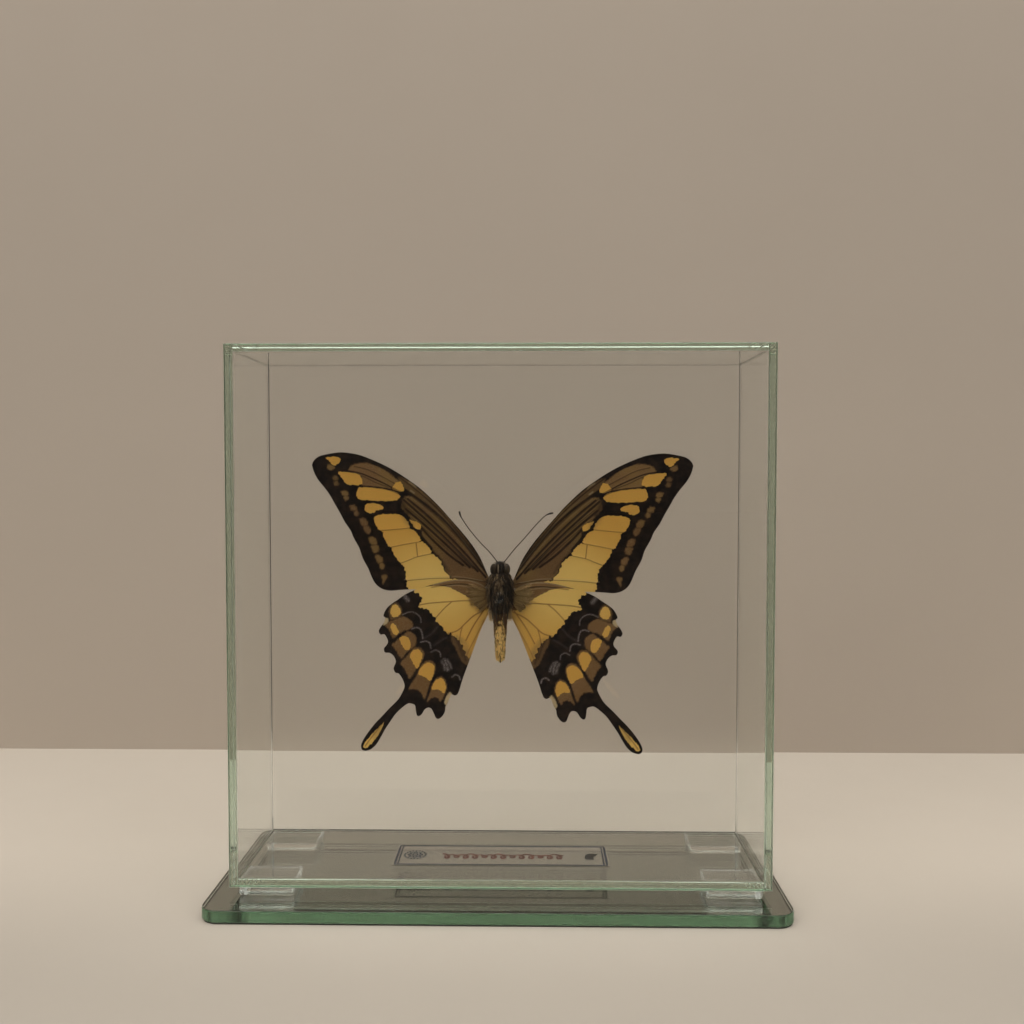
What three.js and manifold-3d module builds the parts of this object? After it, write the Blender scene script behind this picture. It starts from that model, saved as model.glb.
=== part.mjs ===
// A spread swallowtail butterfly in a closed glass display case that stands on a mirror base plate.
// Millimetres, +Z up. The origin is on the base's underside, below the middle of the case. -Y is
// the side that the butterfly's belly faces, +X is to the right as seen from there.

import * as THREE from 'three';
import { mergeVertices } from 'three/addons/utils/BufferGeometryUtils.js';
import Module from 'manifold-3d';

const wasm = await Module();
wasm.setup();

// ---- Driving dimensions ----

// Mirror base plate
const BASE_WIDTH = 171;
const BASE_DEPTH = 68.4;
const BASE_THICKNESS = 4;
const BASE_CORNER_RADIUS = 5.5;
const BASE_ARRIS = 0.35;
const BASE_SHIFT = -0.7;

// Clear pads between the base and the case
const PAD_WIDTH = 16.5;
const PAD_DEPTH = 14;
const PAD_HEIGHT = 2.5;
const PAD_CORNER_RADIUS = 1.2;
const PAD_SIDE_INSET = 2.6;
const PAD_FACE_INSET = 0.2;

// Glass case, outside
const CASE_WIDTH = 160;
const CASE_HEIGHT = 160;
const CASE_DEPTH = 47;
const PANE_THICKNESS = 2.2;
const PANE_ARRIS = 0.2;
const BOND_LINE = 0.05;

// Printed film on the bottom pane, inside the case
const LABEL_WIDTH = 67;
const LABEL_DEPTH = 17;
const LABEL_THICKNESS = 0.12;
const LABEL_SHIFT = -2;

// Butterfly: heights are above the base's underside
const BUTTERFLY_HEIGHT = 92.5;
const THORAX_WIDTH = 7.4;
const THORAX_DEPTH = 7.6;
const THORAX_LENGTH = 13.6;
const HEAD_WIDTH = 5.9;
const HEAD_DEPTH = 4.6;
const HEAD_LENGTH = 4.8;
const HEAD_RISE = 8;
const ABDOMEN_LENGTH = 19;
const ABDOMEN_TOP_DROP = 1.3;
const ABDOMEN_RADIUS = 2;
const BELLY_CLEARANCE = 0.9;
const WING_THICKNESS = 0.35;
const WING_CLEARANCE = 0.15;
const WING_BODY_GAP = 0.3;
const WING_PLANE = -14.5;
const ANTENNA_RADIUS = 0.22;
const ANTENNA_SIDES = 8;
const ANTENNA_STEPS = 14;
const GLUE_RADIUS = 1.7;
const GLUE_GAP = 0.1;

// Wing outlines: [distance out from the body's middle, height above BUTTERFLY_HEIGHT].
// Each edge runs from the wing's root to its tip.
const FOREWING_COSTA = [
  [3.5, 5.3], [9.1, 15.8], [15.1, 22.9], [21.1, 29.3], [30, 36.1],
  [39, 40.7], [45, 42.4], [51, 42.2], [55.7, 40.3], [56.4, 38.9],
];
const FOREWING_MARGIN = [
  [3.5, 2.6], [13.7, 1.7], [26, 1.6], [33.2, 1.2], [37.4, 3.2], [39.6, 7.8],
  [44.9, 19.3], [50.8, 29.5], [54.5, 34.4],
];
const HINDWING_COSTA = [
  [3.3, 1.4], [6.2, 3.5], [12.8, 4.6], [20, 3.2], [28.7, 0], [34.1, -4.1],
  [34.6, -7.6], [36.5, -10.9], [34, -14], [35, -17], [31.6, -20.1], [31.7, -23.6],
  [28.9, -27.4], [33.2, -34], [39.6, -41.2], [42, -45.5], [40.7, -47.2],
];
const HINDWING_MARGIN = [
  [3.3, -2.2], [5.6, -9.8], [9.1, -19.1], [13.2, -30.2], [15.6, -31.6], [18.6, -37.4],
  [21.8, -34], [24.6, -36.6], [26.7, -32.8], [31.6, -36], [36.1, -43.1],
];

// Antenna paths in the same two measures, from the head to the club.
const ANTENNA_LEFT = [[0.8, 10.4], [3.1, 13.2], [6.1, 16.2], [10.9, 22.3], [12.1, 25]];
const ANTENNA_RIGHT = [[1.2, 10.4], [7.4, 17.4], [12.2, 22.8], [14.3, 24.3], [15.7, 24.7]];

// The pressed right-hand wings sit a little off the mirror image of the left ones.
const RIGHT_FOREWING_SHIFT = [0.4, -0.6];
const RIGHT_HINDWING_SHIFT = [-0.4, -0.9];

// ---- Derived places ----

const caseBottom = BASE_THICKNESS + PAD_HEIGHT;
const caseTop = caseBottom + CASE_HEIGHT;
const innerHalfDepth = CASE_DEPTH / 2 - PANE_THICKNESS;
const sideLength = 2 * (innerHalfDepth - BOND_LINE);
const innerWidth = CASE_WIDTH - 2 * (PANE_THICKNESS + BOND_LINE);
const bodyMiddle = -innerHalfDepth + BELLY_CLEARANCE + THORAX_DEPTH / 2;

// ---- Materials ----

const materials = {
  mirror: new THREE.MeshStandardMaterial({ color: '#8a8479', roughness: 0.05, metalness: 0.9 }),
  glass: new THREE.MeshStandardMaterial({ color: '#cfe3d2', roughness: 0.02, metalness: 0 }),
  pad: new THREE.MeshStandardMaterial({ color: '#dfe6dc', roughness: 0.15, metalness: 0 }),
  film: new THREE.MeshStandardMaterial({ color: '#b9bcae', roughness: 0.3, metalness: 0 }),
  body: new THREE.MeshStandardMaterial({ color: '#3a322b', roughness: 0.9, metalness: 0 }),
  forewing: new THREE.MeshStandardMaterial({ color: '#4a3a2a', roughness: 0.8, metalness: 0 }),
  hindwing: new THREE.MeshStandardMaterial({ color: '#c9a557', roughness: 0.8, metalness: 0 }),
  antenna: new THREE.MeshStandardMaterial({ color: '#1d1713', roughness: 0.7, metalness: 0 }),
  glue: new THREE.MeshStandardMaterial({ color: '#e9e6d8', roughness: 0.1, metalness: 0 }),
};

// ---- Shape helpers ----

const model = new THREE.Group();

// Adds a named mesh at a position.
function add(name, geometry, material, position = [0, 0, 0]) {
  const mesh = new THREE.Mesh(geometry, material);
  mesh.name = name;
  mesh.position.set(...position);
  model.add(mesh);
}

// A rectangle about the origin, with round corners if radius is over 0.
function rectangle(width, height, radius = 0) {
  const shape = new THREE.Shape();
  const x = width / 2;
  const y = height / 2;
  if (radius === 0) {
    shape.moveTo(-x, -y).lineTo(x, -y).lineTo(x, y).lineTo(-x, y).closePath();
    return shape;
  }
  const quarter = Math.PI / 2;
  shape.absarc(x - radius, y - radius, radius, 0, quarter);
  shape.absarc(radius - x, y - radius, radius, quarter, 2 * quarter);
  shape.absarc(radius - x, radius - y, radius, 2 * quarter, 3 * quarter);
  shape.absarc(x - radius, radius - y, radius, 3 * quarter, 4 * quarter);
  return shape;
}

// A plate centred on the origin in the XY plane, with its long edges chamfered by arris.
function plate(shape, thickness, arris) {
  const geometry = new THREE.ExtrudeGeometry(shape, {
    depth: thickness - 2 * arris,
    bevelEnabled: arris > 0,
    bevelThickness: arris,
    bevelSize: arris,
    bevelOffset: -arris,
    bevelSegments: 1,
    curveSegments: 8,
  });
  geometry.translate(0, 0, -(thickness - 2 * arris) / 2);
  return geometry;
}

// A glass pane that stands facing along Y.
function facingPane(width, height) {
  return plate(rectangle(width, height), PANE_THICKNESS, PANE_ARRIS).rotateX(Math.PI / 2);
}

// A solid for cutting and joining, from a closed geometry.
function toSolid(geometry) {
  const bare = geometry.clone();
  bare.deleteAttribute('normal');
  bare.deleteAttribute('uv');
  const merged = mergeVertices(bare);
  return new wasm.Manifold(new wasm.Mesh({
    numProp: 3,
    vertProperties: new Float32Array(merged.attributes.position.array),
    triVerts: new Uint32Array(merged.index.array),
  }));
}

// A geometry from a solid.
function toGeometry(solid) {
  const mesh = solid.getMesh();
  const geometry = new THREE.BufferGeometry();
  geometry.setAttribute('position', new THREE.BufferAttribute(mesh.vertProperties, 3));
  geometry.setIndex(new THREE.BufferAttribute(mesh.triVerts, 1));
  geometry.computeVertexNormals();
  return geometry;
}

// An ellipsoid from its three widths and its middle.
function ellipsoid(widths, middle) {
  const geometry = new THREE.SphereGeometry(0.5, 24, 16);
  geometry.rotateX(Math.PI / 2);
  geometry.scale(...widths);
  geometry.translate(...middle);
  return geometry;
}

// ---- Base, pads and case ----

function buildBase() {
  const outline = rectangle(BASE_WIDTH, BASE_DEPTH, BASE_CORNER_RADIUS);
  add('mirror_base', plate(outline, BASE_THICKNESS, BASE_ARRIS), materials.mirror,
    [BASE_SHIFT, 0, BASE_THICKNESS / 2]);
}

function buildPads() {
  const outline = rectangle(PAD_WIDTH, PAD_DEPTH, PAD_CORNER_RADIUS);
  const x = CASE_WIDTH / 2 - PAD_SIDE_INSET - PAD_WIDTH / 2;
  const y = CASE_DEPTH / 2 - PAD_FACE_INSET - PAD_DEPTH / 2;
  const z = BASE_THICKNESS + PAD_HEIGHT / 2;
  for (const [depthName, depthSide] of [['front', -1], ['back', 1]]) {
    for (const [sideName, side] of [['left', -1], ['right', 1]]) {
      add(`pad_${depthName}_${sideName}`, plate(outline, PAD_HEIGHT, 0), materials.pad,
        [side * x, depthSide * y, z]);
    }
  }
}

function buildCase() {
  const middle = (caseBottom + caseTop) / 2;
  const faceY = (CASE_DEPTH - PANE_THICKNESS) / 2;
  const sideX = (CASE_WIDTH - PANE_THICKNESS) / 2;
  add('front_pane', facingPane(CASE_WIDTH, CASE_HEIGHT), materials.glass, [0, -faceY, middle]);
  add('back_pane', facingPane(CASE_WIDTH, CASE_HEIGHT), materials.glass, [0, faceY, middle]);
  const sidePane = facingPane(sideLength, CASE_HEIGHT).rotateZ(Math.PI / 2);
  add('left_pane', sidePane, materials.glass, [-sideX, 0, middle]);
  add('right_pane', sidePane.clone(), materials.glass, [sideX, 0, middle]);
  const lid = plate(rectangle(innerWidth, sideLength), PANE_THICKNESS, PANE_ARRIS);
  add('top_pane', lid, materials.glass, [0, 0, caseTop - PANE_THICKNESS / 2]);
  add('bottom_pane', lid.clone(), materials.glass, [0, 0, caseBottom + PANE_THICKNESS / 2]);
}

function buildLabel() {
  add('label', plate(rectangle(LABEL_WIDTH, LABEL_DEPTH), LABEL_THICKNESS, 0), materials.film,
    [0, LABEL_SHIFT, caseBottom + PANE_THICKNESS + BOND_LINE + LABEL_THICKNESS / 2]);
}

// ---- Butterfly ----

// Head, thorax and abdomen, each made larger by grow on every side.
function bodySolid(grow) {
  const thorax = ellipsoid(
    [THORAX_WIDTH + 2 * grow, THORAX_DEPTH + 2 * grow, THORAX_LENGTH + 2 * grow],
    [0, bodyMiddle, BUTTERFLY_HEIGHT],
  );
  const head = ellipsoid(
    [HEAD_WIDTH + 2 * grow, HEAD_DEPTH + 2 * grow, HEAD_LENGTH + 2 * grow],
    [0, bodyMiddle, BUTTERFLY_HEIGHT + HEAD_RISE],
  );
  const start = -ABDOMEN_TOP_DROP + grow;
  const end = start - ABDOMEN_LENGTH - 2 * grow;
  const profile = [new THREE.Vector2(0, end)];
  const steps = 10;
  for (let i = 1; i < steps; i += 1) {
    const t = i / steps;
    const radius = (ABDOMEN_RADIUS + grow) * Math.sin(Math.PI * Math.min(0.5, 0.12 + t)) ** 0.6;
    profile.push(new THREE.Vector2(radius, end + (start - end) * t));
  }
  profile.push(new THREE.Vector2(0, start));
  const abdomen = new THREE.LatheGeometry(profile, 20).rotateX(Math.PI / 2);
  abdomen.translate(0, bodyMiddle, BUTTERFLY_HEIGHT);
  return toSolid(thorax).add(toSolid(head)).add(toSolid(abdomen));
}

// A wing's closed outline from its two edges, on the side given by side, -1 left and 1 right.
function wingShape(leading, trailing, side, shift) {
  const place = ([x, z]) => new THREE.Vector2(side * (x + shift[0]), z + shift[1]);
  const shape = new THREE.Shape();
  const edge = leading.map(place);
  shape.moveTo(edge[0].x, edge[0].y);
  shape.splineThru(edge.slice(1));
  shape.splineThru(trailing.map(place).reverse());
  shape.closePath();
  return shape;
}

// A flat wing blade in the plane Y = y, cut clear of the body.
function wing(shape, y, clearance) {
  const blade = new THREE.ExtrudeGeometry(shape, {
    depth: WING_THICKNESS,
    bevelEnabled: false,
    curveSegments: 3,
  });
  blade.translate(0, 0, -WING_THICKNESS / 2);
  blade.rotateX(Math.PI / 2);
  blade.translate(0, y, BUTTERFLY_HEIGHT);
  return toGeometry(toSolid(blade).subtract(clearance));
}

// A clubbed feeler: a thin round rod along its path, on the side given by side.
function antenna(path, side, clearance) {
  const points = path.map(([x, z]) => new THREE.Vector3(side * x, bodyMiddle, z));
  const section = new THREE.Shape();
  section.absarc(0, 0, ANTENNA_RADIUS, 0, 2 * Math.PI);
  const rod = new THREE.ExtrudeGeometry(section, {
    extrudePath: new THREE.CatmullRomCurve3(points),
    steps: ANTENNA_STEPS,
    curveSegments: ANTENNA_SIDES,
    bevelEnabled: false,
  });
  rod.translate(0, 0, BUTTERFLY_HEIGHT);
  return toGeometry(toSolid(rod).subtract(clearance));
}

function buildButterfly() {
  const clearance = bodySolid(WING_BODY_GAP);
  add('butterfly_body', toGeometry(bodySolid(0)), materials.body);
  const step = (WING_THICKNESS + WING_CLEARANCE) / 2;
  const sides = [
    ['left', -1, [0, 0], [0, 0], ANTENNA_LEFT],
    ['right', 1, RIGHT_FOREWING_SHIFT, RIGHT_HINDWING_SHIFT, ANTENNA_RIGHT],
  ];
  for (const [name, side, foreShift, hindShift, path] of sides) {
    const fore = wingShape(FOREWING_COSTA, FOREWING_MARGIN, side, foreShift);
    const hind = wingShape(HINDWING_COSTA, HINDWING_MARGIN, side, hindShift);
    add(`forewing_${name}`, wing(fore, WING_PLANE + step, clearance), materials.forewing);
    add(`hindwing_${name}`, wing(hind, WING_PLANE - step, clearance), materials.hindwing);
    add(`antenna_${name}`, antenna(path, side, clearance), materials.antenna);
  }
}

// The drop of adhesive that holds the thorax to the front pane.
function buildGlue() {
  const length = BELLY_CLEARANCE - BOND_LINE - GLUE_GAP;
  const drop = new THREE.CylinderGeometry(GLUE_RADIUS, GLUE_RADIUS, length, 24);
  add('glue_dot', drop, materials.glue,
    [0, -innerHalfDepth + BOND_LINE + length / 2, BUTTERFLY_HEIGHT]);
}

buildBase();
buildPads();
buildCase();
buildLabel();
buildButterfly();
buildGlue();

export default model;
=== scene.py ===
"""Looks of a spread swallowtail butterfly in a closed glass display case on a mirror base plate.

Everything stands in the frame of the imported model: +Z up, -Y the side that the butterfly's belly
faces, +X to the right as seen from there. Lengths are written in millimetres and become metres
where a mesh, a lamp or the camera is made.
"""

import logging
import math
from dataclasses import dataclass, field
from enum import Enum
from typing import Sequence

import bpy
import numpy as np
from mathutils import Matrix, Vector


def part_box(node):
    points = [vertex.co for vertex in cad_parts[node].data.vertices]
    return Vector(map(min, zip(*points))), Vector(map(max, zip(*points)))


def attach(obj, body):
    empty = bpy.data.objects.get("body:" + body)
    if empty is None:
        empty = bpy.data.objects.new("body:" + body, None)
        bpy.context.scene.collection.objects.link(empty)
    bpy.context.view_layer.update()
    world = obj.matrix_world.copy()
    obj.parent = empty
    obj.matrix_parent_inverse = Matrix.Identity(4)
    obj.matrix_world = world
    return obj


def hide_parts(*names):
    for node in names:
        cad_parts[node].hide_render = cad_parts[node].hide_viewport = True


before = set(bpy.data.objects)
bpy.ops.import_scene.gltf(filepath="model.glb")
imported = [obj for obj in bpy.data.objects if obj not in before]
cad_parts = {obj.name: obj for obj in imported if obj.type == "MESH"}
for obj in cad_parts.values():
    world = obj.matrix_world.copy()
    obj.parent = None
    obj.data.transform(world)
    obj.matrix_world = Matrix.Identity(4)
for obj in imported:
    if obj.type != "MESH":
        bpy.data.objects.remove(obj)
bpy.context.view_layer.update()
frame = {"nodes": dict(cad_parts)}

MM = 0.001
ROOT_BODY = "root"
LEFT, RIGHT = -1, 1

# The height and the place in x of the butterfly's middle, and how far its head's middle lies above it.
BUTTERFLY_HEIGHT = 92.5
BODY_AXIS_X = 0.1
HEAD_RISE = 8.0

# The straight step beside a rounded corner, the flat ring inside a rim, a slant that no rod follows.
CORNER_RUN = 0.3
FLAT_RIM = 0.04
SKEW = np.array([0.31, 0.9, 0.27])

log = logging.getLogger("butterfly_case")


# ---- Meshes ----


def spline(knots: np.ndarray, closed: bool = False, steps: int = 6) -> np.ndarray:
    """Rounds a row of knots into a Catmull-Rom curve that passes through each of them.

    Between knots p1 and p2 the point at share t is the cubic
    p1 + t(p2-p0)/2 + t^2(2p0-5p1+4p2-p3)/2 + t^3(3p1-p0-3p2+p3)/2.

    Args:
        knots: one point a row.
        closed: whether the last knot runs on to the first.
        steps: points made for each stretch between two knots.

    Returns:
        The curve's points, one a row.
    """
    knots = np.asarray(knots, float)
    if closed:
        p0, p1, p2, p3 = (np.roll(knots, s, axis=0) for s in (1, 0, -1, -2))
    else:
        padded = np.vstack([2 * knots[0] - knots[1], knots, 2 * knots[-1] - knots[-2]])
        p0, p1, p2, p3 = padded[:-3], padded[1:-2], padded[2:-1], padded[3:]
    t = (np.arange(steps) / steps)[None, :, None]
    p0, p1, p2, p3 = (p[:, None, :] for p in (p0, p1, p2, p3))
    curve = p1 + t * (p2 - p0) / 2
    curve = curve + t**2 * (2 * p0 - 5 * p1 + 4 * p2 - p3) / 2
    curve = curve + t**3 * (3 * p1 - p0 - 3 * p2 + p3) / 2
    points = curve.reshape(-1, knots.shape[1])
    return points if closed else np.vstack([points, knots[-1]])


def smooth_step(value: np.ndarray, low: float, high: float) -> np.ndarray:
    """0 below low, 1 above high, and the cubic 3t^2 - 2t^3 of the share t between them."""
    t = np.clip((value - low) / (high - low), 0.0, 1.0)
    return t * t * (3 - 2 * t)


@dataclass
class Shell:
    """Points and faces of a surface that is being put together, in millimetres."""

    points: np.ndarray
    quads: np.ndarray
    tris: np.ndarray = field(default_factory=lambda: np.zeros((0, 3), int))
    masks: dict[str, np.ndarray] = field(default_factory=dict)

    def joined(self, *others: "Shell") -> "Shell":
        """This shell and others as one, with masks missing on a part set to 0.

        Args:
            others: the other shells.

        Returns:
            The new shell.
        """
        parts = (self, *others)
        starts = np.cumsum([0] + [len(p.points) for p in parts[:-1]])
        names = sorted({n for p in parts for n in p.masks})
        return Shell(
            np.vstack([p.points for p in parts]),
            np.vstack([p.quads + s for p, s in zip(parts, starts)]),
            np.vstack([p.tris + s for p, s in zip(parts, starts)]),
            {n: np.concatenate([p.masks.get(n, np.zeros(len(p.points))) for p in parts])
             for n in names},
        )

    def triangles(self) -> np.ndarray:
        """Every face as triangles."""
        return np.vstack([self.quads[:, [0, 1, 2]], self.quads[:, [0, 2, 3]], self.tris])

    def outward(self) -> "Shell":
        """The same shell, turned so that its faces enclose a positive volume.

        Returns:
            The shell itself.
        """
        a, b, c = (self.points[self.triangles()[:, i]] for i in range(3))
        if np.einsum("ij,ij->i", a, np.cross(b, c)).sum() < 0:
            self.quads = self.quads[:, ::-1]
            self.tris = self.tris[:, ::-1]
        return self

    def to_object(self, name: str, crease_degrees: float | None = None) -> bpy.types.Object:
        """Makes the Blender mesh object.

        Args:
            name: the object's name.
            crease_degrees: edges that bend more than this stay sharp; None is smooth throughout.

        Returns:
            The new object, at the origin.
        """
        mesh = bpy.data.meshes.new(name)
        corners = np.concatenate([self.quads.ravel(), self.tris.ravel()])
        starts = np.concatenate([
            np.arange(len(self.quads)) * 4,
            len(self.quads) * 4 + np.arange(len(self.tris)) * 3,
        ])
        mesh.vertices.add(len(self.points))
        mesh.vertices.foreach_set("co", (self.points * MM).astype(np.float32).ravel())
        mesh.loops.add(len(corners))
        mesh.loops.foreach_set("vertex_index", corners.astype(np.int32))
        mesh.polygons.add(len(starts))
        mesh.polygons.foreach_set("loop_start", starts.astype(np.int32))
        mesh.update(calc_edges=True)
        mesh.validate()
        mesh.shade_smooth()
        if crease_degrees is not None:
            mesh.set_sharp_from_angle(angle=math.radians(crease_degrees))
        for mask, values in self.masks.items():
            attribute = mesh.attributes.new(mask, "FLOAT", "POINT")
            attribute.data.foreach_set("value", values.astype(np.float32))
        piece = bpy.data.objects.new(name, mesh)
        bpy.context.scene.collection.objects.link(piece)
        return piece


def loft(rings: np.ndarray, masks: dict[str, np.ndarray] | None = None) -> Shell:
    """Skins closed rings in their order and closes both ends with a fan about the ring's middle.

    Args:
        rings: points by ring, place round the ring, and axis.
        masks: one value for each ring and place, by name.

    Returns:
        A closed shell with outward faces.
    """
    count, around, _ = rings.shape
    index = np.arange(count * around).reshape(count, around)
    after = np.roll(index, -1, axis=1)
    quads = np.stack([index[:-1], after[:-1], after[1:], index[1:]], axis=-1).reshape(-1, 4)
    first, last = count * around, count * around + 1
    fan_first = np.stack([np.full(around, first), after[0], index[0]], axis=-1)
    fan_last = np.stack([np.full(around, last), index[-1], after[-1]], axis=-1)
    points = np.vstack([rings.reshape(-1, 3), rings[0].mean(0), rings[-1].mean(0)])
    values = {
        n: np.concatenate([v.ravel(), [v[0].mean(), v[-1].mean()]]) for n, v in (masks or {}).items()
    }
    return Shell(points, quads, np.vstack([fan_first, fan_last]), values).outward()


def tube(path: np.ndarray, radius: np.ndarray, around: int = 10) -> Shell:
    """A round rod along a path: middle + radius (cos a side + sin a up) at each path point.

    Args:
        path: the rod's middle line, one point a row.
        radius: one radius for each path point.
        around: points round the rod.

    Returns:
        A closed shell.
    """
    along = np.gradient(path, axis=0)
    along /= np.linalg.norm(along, axis=1, keepdims=True)
    side = np.cross(along, SKEW / np.linalg.norm(SKEW))
    side /= np.linalg.norm(side, axis=1, keepdims=True)
    up = np.cross(side, along)
    angle = np.arange(around) * 2 * math.pi / around
    spread = np.cos(angle)[None, :, None] * side[:, None] + np.sin(angle)[None, :, None] * up[:, None]
    return loft(path[:, None] + np.asarray(radius)[:, None, None] * spread)


def rounded_rectangle(half_x: float, half_y: float, radius: float, corner_steps: int = 8) -> np.ndarray:
    """A rectangle's outline with quarter-circle corners: centre + radius (cos a, sin a).

    Each corner starts and ends with a straight step of CORNER_RUN, so that the long sides shade flat.

    Args:
        half_x: half its length.
        half_y: half its depth.
        radius: the corner radius.
        corner_steps: steps round each corner.

    Returns:
        The outline counter-clockwise, as rows of x and y.
    """
    radius = max(radius, 1e-3)
    turn = np.linspace(0, math.pi / 2, corner_steps + 1)
    corners = []
    for quarter, (sx, sy) in enumerate(((1, 1), (-1, 1), (-1, -1), (1, -1))):
        angle = turn + quarter * math.pi / 2
        centre = np.array([sx * (half_x - radius), sy * (half_y - radius)])
        arc = centre + radius * np.stack([np.cos(angle), np.sin(angle)], axis=-1)
        first = np.array([-math.sin(angle[0]), math.cos(angle[0])]) * CORNER_RUN
        last = np.array([-math.sin(angle[-1]), math.cos(angle[-1])]) * CORNER_RUN
        corners.append(np.vstack([arc[:1] - first, arc, arc[-1:] + last]))
    return np.vstack(corners)


def slab(
    half_x: float, half_y: float, radius: float, profile: Sequence[tuple[float, float]],
    middle: tuple[float, float] = (0.0, 0.0),
) -> Shell:
    """A plate lofted from round-cornered rectangles, one for each (inset, height) of its profile.

    A ring FLAT_RIM inside each end keeps the two broad faces flat up to their rims.

    Args:
        half_x: half the plate's length.
        half_y: half the plate's depth.
        radius: the corner radius.
        profile: how far each ring lies inside the outline, and its height.
        middle: the plate's middle in x and y.

    Returns:
        A closed shell.
    """
    rings = []
    ends = [(profile[i][0] + FLAT_RIM, profile[i][1]) for i in (0, -1)]
    for inset, height in (ends[0], *profile, ends[1]):
        flat = rounded_rectangle(half_x - inset, half_y - inset, radius - inset) + middle
        rings.append(np.column_stack([flat, np.full(len(flat), height)]))
    return loft(np.array(rings))


def bristles(
    roots: np.ndarray, directions: np.ndarray, lengths: np.ndarray, width: float,
    droop: np.ndarray, tints: np.ndarray,
) -> Shell:
    """Many tapered three-sided hairs as one shell.

    A hair's middle line is root + t length direction + t^2 length droop, for t from 0 to 1, and
    its thickness falls from width at the root to a point.

    Args:
        roots: where each hair starts.
        directions: each hair's unit direction.
        lengths: each hair's length.
        width: a hair's thickness at the root.
        droop: how the tips lean away, for each hair.
        tints: a value for each hair that its finish can use.

    Returns:
        The shell, with the mask "tint" and the mask "tip", 1 at the hairs' ends.
    """
    count = len(roots)
    shares, thickness = np.array([0.0, 0.5, 1.0]), np.array([0.5, 0.36, 0.04])
    middle = roots[:, None] + (lengths[:, None] * shares)[..., None] * directions[:, None]
    middle = middle + (lengths[:, None] * shares**2)[..., None] * droop[:, None]
    helper = np.where(np.abs(directions[:, :1]) < 0.8, [[1.0, 0, 0]], [[0, 1.0, 0]])
    side = np.cross(directions, helper)
    side /= np.linalg.norm(side, axis=1, keepdims=True)
    up = np.cross(directions, side)
    angle = np.arange(3) * 2 * math.pi / 3
    spread = np.cos(angle)[:, None] * side[:, None] + np.sin(angle)[:, None] * up[:, None]
    rings = middle[:, :, None] + width * thickness[None, :, None, None] * spread[:, None]
    index = np.arange(count * 9).reshape(count, 3, 3)
    after = np.roll(index, -1, axis=2)
    quads = np.stack([index[:, :-1], after[:, :-1], after[:, 1:], index[:, 1:]], axis=-1)
    tips = index[:, 2]
    feet = index[:, 0, ::-1]
    masks = {
        "tint": np.repeat(tints, 9),
        "tip": np.tile(np.repeat(shares, 3), count),
    }
    return Shell(rings.reshape(-1, 3), quads.reshape(-1, 4), np.vstack([feet, tips]), masks)


def place(piece: bpy.types.Object, finish: bpy.types.Material, slot: str, *nodes: str) -> None:
    """Dresses a piece, ties it to the model's body, hides the CAD nodes that it replaces and logs its
    face count.

    Args:
        piece: the finished mesh object.
        finish: its material.
        slot: the record's material slot for the piece; not used.
        nodes: the CAD nodes that it replaces.
    """
    piece.data.materials.append(finish)
    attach(piece, ROOT_BODY)
    if nodes:
        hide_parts(*nodes)
    log.info("%s: %d faces", piece.name, len(piece.data.polygons))


# ---- Node trees ----


Feed = float | tuple[float, ...] | bpy.types.NodeSocket


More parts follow.
